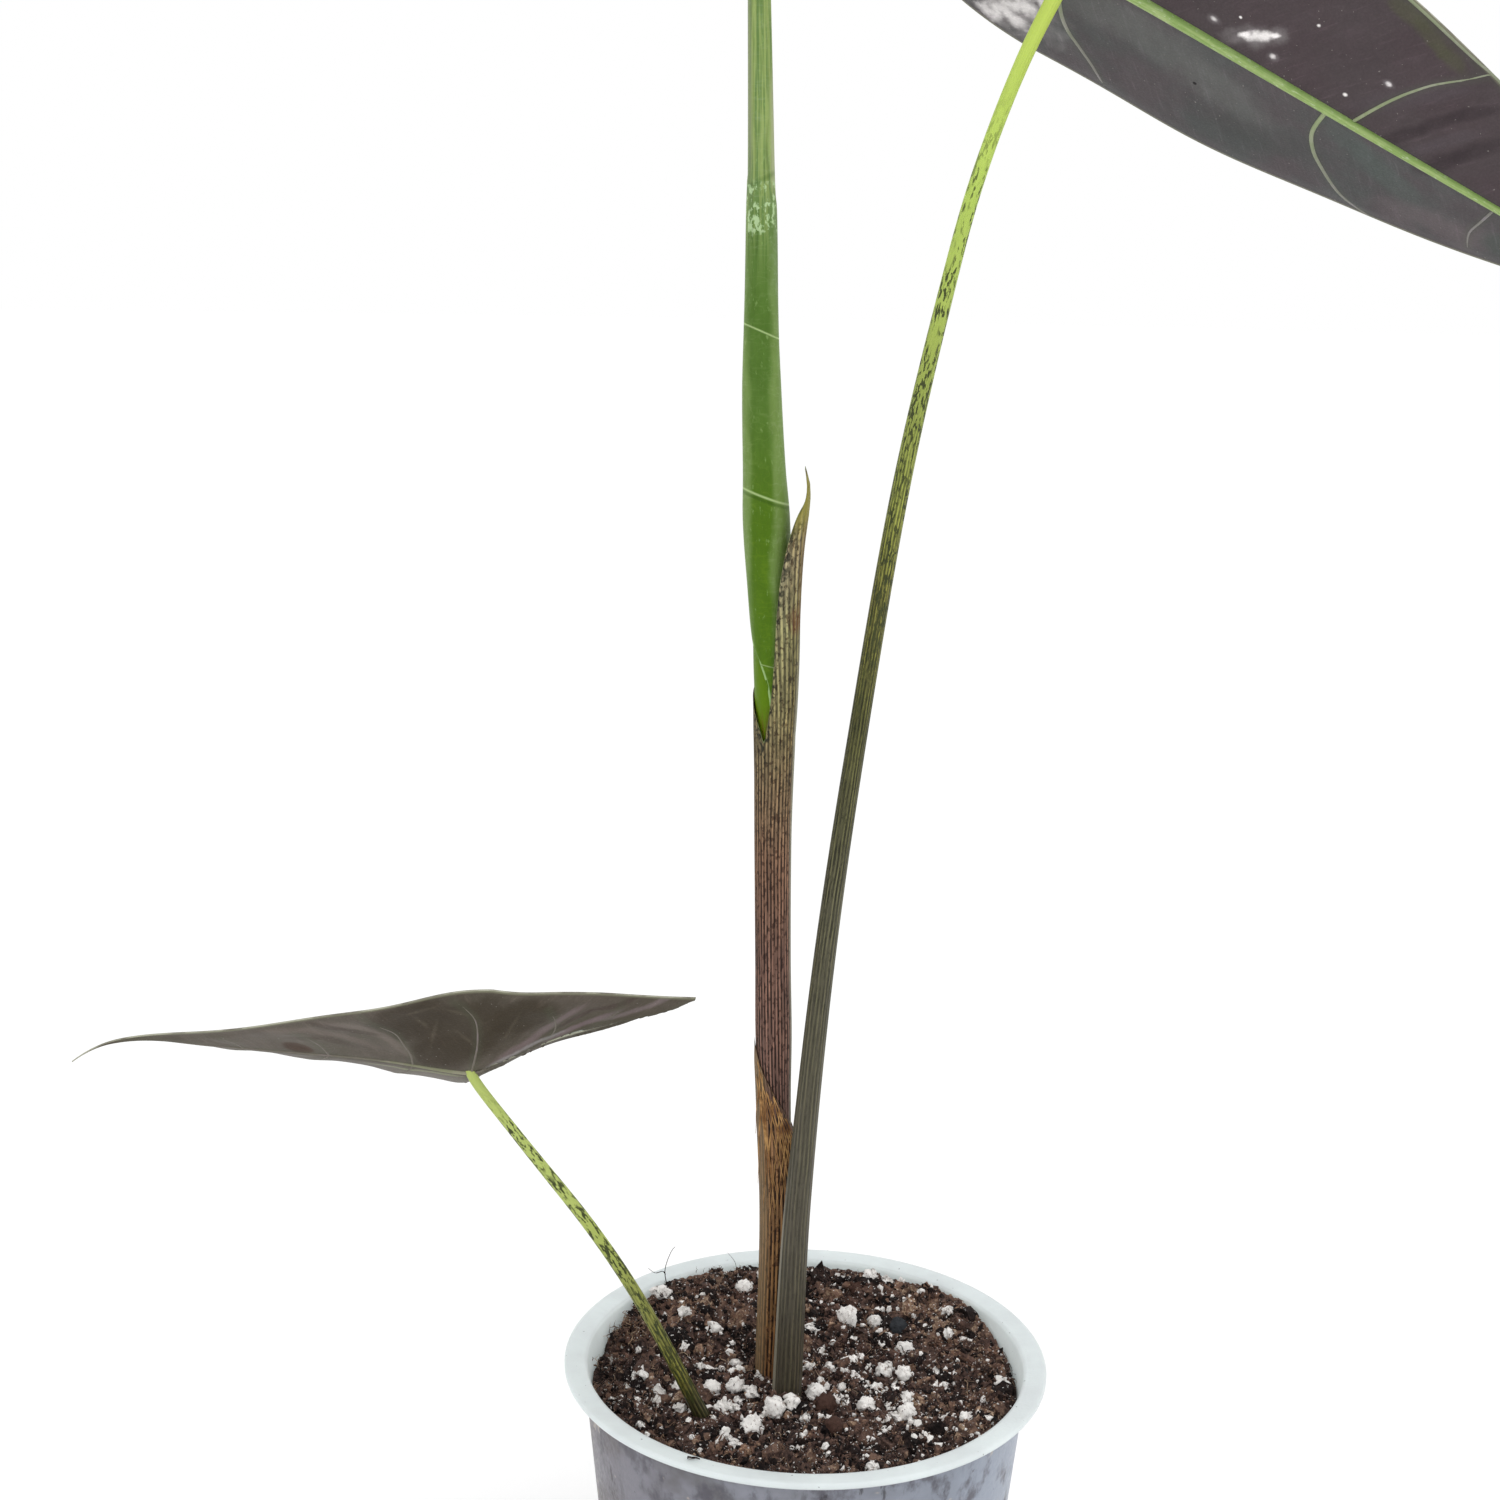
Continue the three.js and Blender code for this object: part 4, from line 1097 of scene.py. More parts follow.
class ALOCASIA_OT_petioles(bpy.types.Operator):
    """Grow the two petioles"""

    bl_idname = "alocasia.petioles"
    bl_label = "Petioles"

    def execute(self, context):
        stem = context.scene.alocasia_stems
        axis = Axis(BIG_PETIOLE_AXIS)
        radii = spaced(BIG_PETIOLE_RADII)
        bm = new_shape()

        def big_radius(t, bearing):
            rib = 0.04 * cos(radians(18 * bearing)) * (1 - 0.6 * t)
            return along(radii, t) + wing(t, bearing) + rib
        add_stalk(bm, axis, big_radius, 108, 210, limit=under_blade(BIG_LEAF))
        shades = (
            (0.0, (52, 47, 38)), (0.1, (72, 66, 55)), (0.2, stem.base), (0.42, (82, 79, 62)),
            (0.54, (78, 77, 42)), (0.62, (108, 106, 52)), (0.7, stem.middle),
            (0.765, (160, 176, 86)), (0.86, (180, 204, 98)), (1.0, stem.top),
        )
        lined = (0.3, 0.46), (0.68, 0.78)
        flecked = (0.5, 0.62), (0.84, 0.93)
        skin = petiole_skin(stem, "Large petiole", axis.length, 18, shades, lined, flecked, footed=True)
        finish_piece(bm, "large_petiole", "petiole_big", [skin], ["petiole_big"])

        axis = Axis(SMALL_PETIOLE_AXIS)
        thin = spaced(SMALL_PETIOLE_RADII)
        bm = new_shape()
        add_stalk(
            bm, axis, lambda t, b: along(thin, t) + 0.02 * cos(radians(12 * b)), 72, 130,
            limit=under_blade(SMALL_LEAF),
        )
        shades = (
            (0.0, (42, 40, 28)), (0.27, (66, 62, 40)), (0.32, (94, 90, 42)),
            (0.44, (124, 124, 64)), (0.6, (164, 176, 92)), (0.76, stem.small), (1.0, stem.small),
        )
        lined = (0.18, 0.3), (0.42, 0.55)
        flecked = (0.2, 0.3), (0.86, 0.96)
        skin = petiole_skin(stem, "Small petiole", axis.length, 12, shades, lined, flecked)
        finish_piece(bm, "small_petiole", "petiole_small", [skin], ["petiole_small"])
        return {"FINISHED"}


def sheath_outer(height, bearing):
    flare = along(TIP_FLARE, height) * ((1 + cos(radians(bearing - 340))) / 2) ** 1.5
    return along(SHOOT_SHEATH_RADII, height) + flare


def dry_outer(height, bearing):
    close = 0.22 * (1 - ease(along(OLD_SHEATH_TOP, bearing % 360) - height, 0, 6))
    return along(SHOOT_SHEATH_RADII, height) + mix(0.95, 0.5, ease(height, 140, 164)) - close


def add_sheath(bm, axis, heights, top, outer, columns, rows, ribs):
    """A thin tube with a slanting top edge, its wall thinner towards the edge"""
    foot = 58

    def place(u, v):
        bearing = 90 + 360 * u
        rise = v * 2 if v <= 0.5 else 2 - 2 * v
        edge = along(top, bearing % 360)
        height = mix(foot, edge, rise ** 0.75)
        wall = mix(0.65, 0.3, ease(height, 190, 225)) if outer == sheath_outer else 0.45
        inward = 0 if v <= 0.5 else mix(wall, 0.22, ease(rise, 0.8, 1.0)) * ease(rise, 0.0, 0.02)
        rib = 0.05 * cos(radians(ribs * bearing)) if v <= 0.5 else 0
        radius = outer(height, bearing) - inward + rib * ease(1 - rise, 0, 0.05)
        t = along_height(heights, height)
        return axis.beside(t, bearing, radius), unrolled(bearing, radius, height), edge - height
    add_grid(bm, columns, 2 * rows, place)


def height_table(axis):
    """Pairs of height and place along the axis"""
    return [(axis.at(i / 200).z, i / 200) for i in range(201)]


def along_height(table, height):
    i = clamp(bisect.bisect([h for h, _ in table], height) - 1, 0, len(table) - 2)
    (low, a), (high, b) = table[i], table[i + 1]
    return a + (b - a) * clamp((height - low) / (high - low))


def sheath_skin(name, shades, ribs, tip):
    """Ribbed sheath skin: a gradient by height, pale ribs, dark dashes between them and black squiggles"""
    look = Look(name, Roughness=0.6)
    place = look.read(LAY)
    height = place.parts()[2]
    below = look.read(NEAR, "Fac")
    shown = ((height - 80) / 210).ramp(*shades)
    soft = place.mottle((0.5, 0.5, 0.05), 0.35, 0.68, 3)
    shown = shown.tinted(soft * 0.4, 0.78, 0.72, 0.68)
    lines = place.ribbing(ribs, 4.5)
    rising = height.step(200, 245) if tip else 0.0
    uneven = place.mottle((1.2, 1.2, 0.1), 0.32, 0.62, 4)
    paler = lines.step(0.45, 0.88) * uneven * 0.95
    shown = shown.tinted(paler, 2.3, 2.25, 2.15)
    dashes = place.mottle((1.5, 1.5, 0.3), 0.4, 0.5, 6)
    dark = (1 - lines.step(0.15, 0.55)) * dashes
    weaker = 1 - rising * 0.4
    shown = shown.tinted(dark * weaker, 0.14, 0.12, 0.11)
    specks = place.mottle((1.4, 1.4, 0.8), 0.55, 0.6, 4)
    shown = shown.tinted(specks * 0.85, 0.26, 0.2, 0.18)
    glints = place.mottle((2.2, 2.2, 0.35), 0.6, 0.68, 3)
    shown = shown.tinted(glints * 0.6, 1.7, 1.6, 1.5)
    side = place.vector("MULTIPLY", (1, 1, 0)).vector("NORMALIZE").parts()[0]
    if tip:
        high = height.band((206, 220), (277, 281))
        nearer = 0.45 + (1 - below.step(2, 9)) * 0.55
        strokes = place.squiggles((0.5, 0.5, 0.3), 0.07, 0.5)
        twigs = place.squiggles((0.9, 0.9, 0.6), 0.1, 0.5)
        marks = strokes.most(twigs)
        shown = shown.toward((26, 30, 20), marks * high * nearer * 0.95)
        golden = side.step(0.84, 0.95) * height.band((250, 262), (276, 283))
        shown = shown.toward((116, 90, 40), golden * 0.55)
        shown = shown.tinted(side.step(0.45, 0.8) * rising * 0.6, 0.62, 0.56, 0.4)
        rusty = side.step(0.55, 0.8) * height.band((252, 255), (257, 260)) * dashes
        shown = shown.toward((110, 62, 34), rusty * 0.5)
        shown = shown.toward((140, 134, 62), height.step(272, 279) * 0.85)
        shown = shown.toward((84, 72, 52), height.step(284.3, 286) * 0.8)
        grey = side.step(0.86, 0.97) * (1 - height.step(238, 256)) * 0.8
        shown = shown.toward((150, 150, 134), grey)
        margin = 1 - below.step(0.25, 0.6)
        shown = shown.toward((140, 156, 100), margin * 0.6)
    else:
        left = 1 - side.step(-0.75, -0.35)
        thin = (1 - below.step(3, 10)) * (1 - left) * 0.9
        shown = shown.toward((100, 76, 66), thin * (1 - dark * 0.8))
        shown = shown.toward((142, 122, 92), left * 0.5)
        margin = 1 - below.step(0.2, 0.6)
        shown = shown.toward((150, 122, 92), margin * 0.6)
        shown = shown.toward((56, 38, 28), height.step(162, 165) * 0.9)
    relief = lines + soft * 0.5
    return look.finish(shown, relief, 0.12)


class ALOCASIA_OT_sheaths(bpy.types.Operator):
    """Wrap the shoot in its ribbed sheath and in the dry one with its loose strands below it"""

    bl_idname = "alocasia.sheaths"
    bl_label = "Sheaths"

    def execute(self, context):
        stem = context.scene.alocasia_stems
        axis = Axis(SHOOT_AXIS)
        heights = height_table(axis)
        bm = new_shape()
        add_sheath(bm, axis, heights, SHOOT_SHEATH_TOP, sheath_outer, 160, 80, 32)
        shades = (
            (0.0, (84, 62, 52)), (0.33, (100, 76, 68)), (0.5, stem.sheath_low),
            (0.6, (112, 86, 68)), (0.68, (110, 94, 70)), (0.75, (114, 107, 74)),
            (0.83, (120, 118, 84)), (0.9, stem.sheath), (1.0, (146, 140, 76)),
        )
        skin = sheath_skin("Shoot sheath", shades, 32, True)
        finish_piece(bm, "ribbed_sheath", "shoot_sheath", [skin], ["shoot_sheath"])

        bm = new_shape()
        add_sheath(bm, axis, heights, OLD_SHEATH_TOP, dry_outer, 168, 45, 28)
        shades = (
            (0.0, (100, 70, 44)), (0.15, stem.old), (0.3, (116, 88, 62)), (0.42, (104, 82, 64)),
            (1.0, (100, 78, 60)),
        )
        skin = sheath_skin("Dry sheath", shades, 28, False)
        finish_piece(bm, "dry_sheath", "old_sheath", [skin], ["old_sheath"])

        bm = new_shape()
        draw = random.Random(5)
        for number in range(34):
            start = mix(206, 330, number / 33) + draw.uniform(-4, 4)
            end = start + draw.uniform(20, 80) * (-0.6 if number % 3 == 2 else 1)
            top, drop = along(OLD_SHEATH_TOP, start) - draw.uniform(0.5, 6), draw.uniform(10, 30)
            points = []
            for i in range(6):
                bearing, height = mix(start, end, i / 5), top - drop * i / 5
                reach = dry_outer(height, bearing) + 0.12 + 0.07 * sin(2.4 * i + number) + 0.03 * i
                points.append(axis.beside(along_height(heights, height), bearing, reach))
            add_stalk(bm, Axis(points), lambda t, _: 0.1 * (1.1 - 0.6 * t), 5, 26)
        look = Look("Dry strand", Roughness=0.7)
        ends = look.place().mottle((300, 300, 300), 0.35, 0.65)
        strand = look.finish(ends.between((196, 154, 100), (136, 96, 58)))
        finish_piece(bm, "dry_strands", "old_sheath", [strand])
        return {"FINISHED"}


def rolled_skin(stem):
    """Fresh rolled leaf: deep green down the middle and paler at its sides, painted shade and painted light
    shining through the thin sides, and paler at its free margin
    """
    look = Look(
        "Rolled leaf", Roughness=0.45, Specular_IOR_Level=0.12, Subsurface_Weight=0.12,
        Subsurface_Radius=(0.8, 1.5, 0.4), Subsurface_Scale=0.001,
    )
    place = look.read(LAY)
    x, y, height = place.parts()
    margin = look.read(NEAR, "Fac")
    shift = place.mottle((0.16, 0.16, 0.07), 0.2, 0.8, 3) * 1.5
    wavy = x + shift
    wavy = wavy + (1 - height.step(260, 290)) * 1.3
    # Painted shade and light: the middle of the roll deep green and its thin sides paler
    middle = wavy.band((-2.6, -0.9), (1.7, 3.2))
    shown = height.step(308, 335).between(stem.roll_pale, (112, 138, 84))
    deep = height.step(272, 305).between(stem.roll, (78, 110, 40))
    fade = 1 - height.step(318, 345) * 0.7
    shown = shown.toward(deep, middle * fade * 0.95)
    soft = place.mottle((0.5, 0.5, 0.16), 0.36, 0.66, 5)
    shown = shown.tinted(soft * 0.55, 0.76, 0.8, 0.62)
    across = place.mottle((0.35, 0.35, 1.5), 0.52, 0.72, 4)
    shown = shown.tinted(across * 0.55, 1.4, 1.25, 1.8)
    arcs = place.squiggles((0.25, 0.25, 0.4), 0.03, 0.7)
    shown = shown.tinted(arcs * 0.35, 1.5, 1.3, 2.0)
    glints = place.mottle((1.4, 1.4, 0.5), 0.62, 0.72, 3)
    shown = shown.toward((160, 190, 120), glints * 0.3)
    upper = height.step(334, 352)
    stripes = place.mottle((1.3, 1.3, 0.035), 0.44, 0.58, 3)
    shown = shown.toward((176, 190, 116), stripes * height.step(318, 350) * 0.45)
    dark = place.mottle((1.9, 1.9, 0.06), 0.56, 0.64, 3)
    shown = shown.tinted(dark * height.step(312, 335) * 0.45, 0.5, 0.55, 0.42)
    far = x.step(2.5, 3.3) * height.step(310, 335) * 0.6
    shown = shown.tinted(far, 0.5, 0.55, 0.4)
    mauve = (1 - x.step(-2.2, -1.2)) * upper
    shown = shown.toward((122, 128, 104), mauve * 0.65)
    pinkish = x.step(1.5, 2.2) * height.band((338, 344), (356, 364))
    shown = shown.toward((168, 172, 140), pinkish * 0.6)
    fresh = (1 - height.step(244, 256)) * margin.step(12, 15)
    shown = shown.toward((88, 120, 2), fresh * 0.9)
    edge = 1 - margin.step(0.22, 0.6)
    shown = shown.toward((160, 190, 128), edge * (1 - height.step(300, 320)) * 0.8)
    outer = (1 - margin.step(4, 6)) * 0.6
    lines = place.crossing((0.25, 0, 1), 246.8, 0.22) * outer
    for slope, at, width in ROLL_LINES:
        lines = lines.most(place.crossing(slope, at, width))
    front = 1 - y.step(-1, 0.5)
    lines = lines * front
    shown = shown.toward((176, 200, 136), lines * 0.8)
    # Painted highlights: pale patches on the crumpled band below the fold
    crumple_highlights = place.mottle((0.8, 0.8, 0.5), 0.5, 0.58, 4) * 0.8
    crumple_highlights = crumple_highlights * height.band((330, 333), (340.5, 342))
    shown = shown.toward((180, 206, 156), crumple_highlights)
    # Painted shade: a dark line along the slanting fold near the roll's top
    fold = place.crossing((-0.5, 0, 1), 341.6, 0.9) * front
    shown = shown.tinted(fold * 0.6, 0.5, 0.6, 0.45)
    brown = (1 - height.step(232, 240)) * margin.step(12, 15)
    brown = brown * place.mottle((1.6, 1.6, 0.1), 0.4, 0.6, 3)
    shown = shown.toward((96, 78, 26), brown * 0.8)
    # Painted shadow: a dark line just below the first pale line across the roll
    slope, at, width = ROLL_LINES[0]
    under = place.crossing(slope, at - 0.75, 0.6) * front
    shown = shown.tinted(under * 0.75, 0.5, 0.6, 0.4)
    fine = place.mottle((1.4, 1.4, 0.6), 0.3, 0.7, 4)
    relief = lines * 1.5 + fine * 0.35
    return look.finish(shown, relief, 0.1)


# Lines across the rolled leaf: slope of the cutting plane, where it cuts, and half width
ROLL_LINES = (
    ((0.42, 0.05, 1), 280.9, 0.42),
    ((0.43, 0.08, 1), 313.1, 0.34),
)

# Where the rolled leaf's free margin lies, as a bearing by height
ROLL_SEAM = (
    (58, 282), (200, 266), (226, 256), (234, 256), (240.5, 255), (246.5, 236), (251, 205), (258, 184),
    (268, 165), (300, 120), (380, 60), (455, 10),
)


def fold_step(height, bearing):
    """How far the outer layer stands out, below the slanting fold near the roll's top"""
    fold = 340 - 2.2 * cos(radians(bearing))
    return ease(fold - height, 0, 0.8) * ease(height, 318, 338)


class ALOCASIA_OT_rolled_leaf(bpy.types.Operator):
    """Roll the new leaf"""

    bl_idname = "alocasia.rolled_leaf"
    bl_label = "Rolled leaf"

    def execute(self, context):
        stem = context.scene.alocasia_stems
        axis = Axis(SHOOT_AXIS)
        bm = new_shape()

        def place(u, v):
            t = clamp((v - 0.003) / 0.994)
            height = axis.at(t).z
            turn, closing = clamp(u / 0.975), clamp((u - 0.975) / 0.025)
            bearing = along(ROLL_SEAM, height) + 360 * turn
            layer = ease(turn, 0.72, 1) * (1 - closing)
            radius = along(NEW_LEAF_RADII, height) * (1.03 - 0.1 * ease(height, 212, 230) * layer)
            radius += 0.12 * fold_step(height, bearing)
            reach = radius if 0.001 < v < 0.999 else 0
            from_edge = radians(360 * turn) * radius
            return axis.beside(t, bearing, reach), unrolled(bearing, reach, height), from_edge
        add_grid(bm, 76, 300, place)
        finish_piece(bm, "rolled_leaf", "new_leaf", [rolled_skin(stem)], ["new_leaf"])
        return {"FINISHED"}


# Leaves

def leaf_matrix(leaf):
    azimuth, dip, roll = (radians(leaf[key]) for key in ("azimuth", "dip", "roll"))
    turn = Matrix.Rotation(azimuth, 4, "Z") @ Matrix.Rotation(dip, 4, "Y") @ Matrix.Rotation(roll, 4, "X")
    return Matrix.Translation(leaf["junction"]) @ turn


def blade_height(leaf, x, y):
    """Height of the blade's upper face above its flat plan"""
    size, width = leaf["length"], leaf["half_width"]
    ahead, behind = clamp(x / size), max(-x / leaf["lobe"], 0)
    twist = -leaf["twist"] if y > 0 else leaf["twist"]
    fold = mix(leaf["fold_base"], leaf["fold_tip"] + twist, sin(ahead * pi / 2))
    out = abs(y)
    soft = out - 1.2 * (1 - exp(-out / 1.2))
    droop = leaf["droop"] * size * clamp((ahead - 0.7) / 0.3) ** 3.5
    arch = leaf["arch"] * size * (ahead - ahead * ahead)
    rise = leaf["rise"] * leaf["lobe"] * behind ** 1.4 + (leaf["far_lobe"] * behind ** 1.5 if y < 0 else 0)
    cup = leaf["cup"] * (1 - exp(-(x * x + y * y) / 200))
    fullest = ease(x, -12, 4) * (1 - ahead) ** 1.2
    belly = leaf["belly"] * sin(pi * clamp(out / (0.8 * width))) * fullest if y < 0 else 0
    wave = leaf["wave"] * (out / width) ** 2 * sin(x / size * 17 + (0 if y > 0 else 2))
    wave += leaf["keel"] * exp(-((x + 17) / 13) ** 2) * (1 - ease(out, 6, 20)) * ease(-x, 0, 5)
    return soft * tan(radians(fold)) + arch - droop + rise + cup - belly + wave


def even_curve(points):
    """A smooth plane curve with its points at even steps of t, as a function of t"""
    places, last = [Vector(p) for p in points], len(points) - 1

    def at(t):
        i = min(int(t * last), last - 1)
        w = t * last - i
        a, b, c, d = (places[clamp(j, 0, last)] for j in (i - 1, i, i + 1, i + 2))
        start, end = (c - a) / 2, (d - b) / 2
        curve = (2 * b - 2 * c + start + end) * w ** 3
        return curve + (3 * c - 3 * b - 2 * start - end) * w ** 2 + start * w + b
    return at


def outline(points, leaf):
    scaled = []
    for x, y in points:
        out = (y ** leaf["taper"] if x > 0 else y) * leaf["half_width"]
        scaled.append((x * (leaf["length"] if x > 0 else leaf["lobe"]), out))
    return even_curve(scaled)


class ALOCASIA_OT_leaves(bpy.types.Operator):
    """Grow the two arrow-shaped blades with their veins"""

    bl_idname = "alocasia.leaves"
    bl_label = "Leaves"

    def execute(self, context):
        looks = context.scene.alocasia_leaves
        grown = looks.purple, looks.green, looks.brown, looks.vein, (124, 122, 116)
        young = looks.young, looks.young_green, looks.young, looks.young_vein, (108, 102, 92)
        for leaf, name, node, rows, columns, veins, marks, shades in (
            (BIG_LEAF, "large_blade", "blade_big", 280, 40, big_veins(), BIG_MARKS, grown),
            (SMALL_LEAF, "small_blade", "blade_small", 220, 30, small_veins(), SMALL_MARKS, young),
        ):
            bm = blade_plan(leaf, rows, columns)
            measure_veins(bm, veins)
            raise_blade(bm, leaf, looks)
            for vein in veins:
                add_vein(bm, leaf, looks, *vein)
            bmesh.ops.transform(bm, matrix=leaf_matrix(leaf), verts=bm.verts)
            skins = [
                under_skin(name, shades[:3], marks), upper_skin(looks, name), vein_skin(name, *shades[3:]),
                edge_skin(name),
            ]
            finish_piece(bm, name, "blade", skins, [node], turn_out=False)
        return {"FINISHED"}


UNDER, UPPER, VEIN, EDGE = range(4)

# How far a blade swells between its veins, in mm
CUSHION = 0.45


def blade_plan(leaf, rows, columns):
    """The blade's flat plan, one millimetre thick, with its upper face at 0"""
    margin, lobe_vein, sinus = (outline(points, leaf) for points in (MARGIN, LOBE_VEIN, SINUS))
    bm = new_shape()

    def middle(row):
        if row >= MARGIN_SPLIT:
            return lobe_vein((row - MARGIN_SPLIT) / (1 - MARGIN_SPLIT))
        lean = 0.1 * leaf["length"] * sin(row / MARGIN_SPLIT * pi / 2)
        return Vector((margin(row).x - lean, 0))

    def between(inner, edge, u, side):
        place = inner.lerp(edge, u)
        room = (edge - inner).length * (1 - u)
        return Vector((place.x, side * place.y, 0)), Vector((place.x, side * place.y, room)), 0

    for side in (1, -1):
        def outer(u, v):
            return between(middle(v), margin(v), u, side)

        def strip(u, v):
            return between(middle(mix(MARGIN_SPLIT, 1, v)), sinus(v), u, side)
        add_grid(bm, columns, rows, outer)
        add_grid(bm, columns // 3, int(rows * (1 - MARGIN_SPLIT)), strip)
    bmesh.ops.remove_doubles(bm, verts=bm.verts, dist=0.02)
    for face in bm.faces:
        if face.normal.z < 0:
            face.normal_flip()
    bmesh.ops.solidify(bm, geom=bm.faces[:], thickness=1)
    return bm


def measure_veins(bm, veins):
    """Stores how far each point of the plan is from the nearest vein"""
    distance = bm.verts.layers.float[NEAR]
    spots = np.array([vert.co.xy for vert in bm.verts])
    nearest = np.full(len(spots), 99.0)
    for path, *_ in veins:
        line = np.array([path(i / 24) for i in range(25)])
        for a, b in zip(line, line[1:]):
            ab = b - a
            t = np.clip(((spots - a) @ ab) / max(ab @ ab, 1e-9), 0, 1)
            nearest = np.minimum(nearest, np.hypot(*(a + t[:, None] * ab - spots).T))
    for vert, away in zip(bm.verts, nearest):
        vert[distance] = away


def raise_blade(bm, leaf, looks):
    """Lifts the flat plan into the folded, quilted blade, thin at its margin"""
    lay, distance = bm.verts.layers.float_vector[LAY], bm.verts.layers.float[NEAR]
    for face in bm.faces:
        face.normal_update()
        upright = face.normal.z
        face.material_index = UPPER if upright > 0.5 else UNDER if upright < -0.5 else EDGE
    thick, thin = looks.thickness / MM, looks.edge / MM
    for vert in bm.verts:
        x, y, room = vert[lay]
        lower = vert.co.z < -0.5
        quilt = CUSHION * (1 - exp(-(vert[distance] / 3.2) ** 2)) * ease(room, 0, 5)
        top = blade_height(leaf, x, y) + quilt - CUSHION * ease(room, 0, 5)
        wall = mix(thin, thick, ease(room, 0, 3))
        vert.co = Vector((x, y, top - wall if lower else top))


def room_at(leaf, x, y):
    """How far a place on the plan is inside the margin and the notch between the lobes, sideways"""
    if "edges" not in leaf:
        curves = outline(MARGIN, leaf), outline(SINUS, leaf)
        leaf["edges"] = [sorted(tuple(curve(i / 300)) for i in range(301)) for curve in curves]
    outer, inner = (float(np.interp(x, *zip(*edge))) for edge in leaf["edges"])
    room = outer - abs(y)
    if x < -0.05 * leaf["lobe"]:
        room = min(room, abs(y) - inner)
    return max(room, 0)


def add_vein(bm, leaf, looks, path, width, depth, fresh, faded):
    """A rounded rib on the blade's lower face along a path of the plan, tapering to its end"""
    size = sum((Vector(path((i + 1) / 20)) - Vector(path(i / 20))).length for i in range(20))
    thick, thin = looks.thickness / MM, looks.edge / MM

    def place(u, v):
        t = clamp((v - 0.01) / 0.98)
        x, y = path(t)
        ahead = Vector(path(min(t + 0.01, 1))) - Vector(path(max(t - 0.01, 0)))
        across = Vector((-ahead.y, ahead.x)).normalized()
        taper = 1 - (0.85 if width > thick else 0.35) * t ** 1.2 if 0.005 < v < 0.995 else 0
        turn = 2 * pi * u
        shift = across * width * taper * cos(turn)
        room = room_at(leaf, x, y)
        base = blade_height(leaf, x, y) - CUSHION * ease(room, 0, 5) - mix(thin, thick, ease(room, 0, 3))
        z = base + 0.15 - (0.2 * (1 - t) + depth * taper) * 0.9 * max(sin(turn), -0.15)
        spot = Vector((x + shift.x, y + shift.y, z if taper else base))
        return spot, Vector((x, y, cos(turn))), mix(fresh, faded, t)
    add_grid(bm, 12, max(10, ceil(size / 1.2)), place, VEIN)


def vein_path(points, side=1):
    line = even_curve(points)

    def at(t):
        x, y = line(clamp(t))
        return x, side * y
    return at


def lobe_veins(leaf, points, branches, fresh):
    """The same veins in both lobes: the lobe's main vein and its branches"""
    width, depth = leaf["midrib"]
    thin, low = leaf["vein"]
    veins = []
    for side in (1, -1):
        veins.append((vein_path(points, side), width * 0.6, depth * 0.45, fresh, fresh * 0.5))
        veins += [(vein_path(branch, side), thin * 0.8, low * 0.8, fresh * 0.6, 0.0) for branch in branches]
    return veins


def big_veins():
    """Paths over the large blade's plan: half width, height, and how green at each end"""
    width, depth = BIG_LEAF["midrib"]
    thin, low = BIG_LEAF["vein"]
    veins = [(vein_path([(0, 0), (40, 0), (90, 0), (130, 0), (149, 0)]), width, depth, 1.0, 0.8)]
    for side, wide, fresh, faded, *points in (
        (
            1, 0.95, 0.45, 0.1, (-0.5, 0), (-0.6, 7), (1.7, 13.8), (4.6, 18.1), (8.3, 21.1), (12.6, 24.5),
            (16.2, 28),
        ),
        (
            1, 0.9, 0.5, 0.1, (55.2, 0.5), (55.4, 7.1), (57.6, 11.6), (61, 15), (66.4, 19), (71.6, 21),
            (75, 21.6),
        ),
        (1, 0.6, 0.1, 0.0, (92, 0.5), (91.8, 5), (91.7, 9.7), (93.6, 13.8)),
        (-1, 1.0, 0.5, 0.3, (-0.5, 0), (0, 7), (2, 13.5), (6, 19), (12, 24), (19, 27.2)),
        (-1, 0.7, 0.45, 0.35, (60.3, 0.5), (62.3, 5), (64.2, 8.6), (66.3, 11.8), (69.6, 15.7), (76.5, 21.6)),
        (-1, 0.4, 0.1, 0.0, (99, 0.5), (101, 3.5), (105, 6.5)),
        (
            -1, 0.65, 0.4, 0.3, (30, 28.4), (45, 27), (59.1, 24.6), (65.4, 23.4), (71.6, 22.2), (78.4, 20.9),
            (90, 17.4), (104, 12.9),
        ),
    ):
        veins.append((vein_path(points, side), thin * wide, low * wide, fresh, faded))
    branches = (
        [(-20, 4.6), (-22, 11), (-21, 18), (-17, 25)], [(-42, 9.4), (-46, 14), (-48, 19.5), (-46, 24.5)],
        [(-60, 12.6), (-64, 15.5), (-67, 19), (-67, 21.5)],
    )
    return veins + lobe_veins(BIG_LEAF, [(0, 0), (-27, 6), (-56, 12), (-78, 14.6)], branches, 0.8)


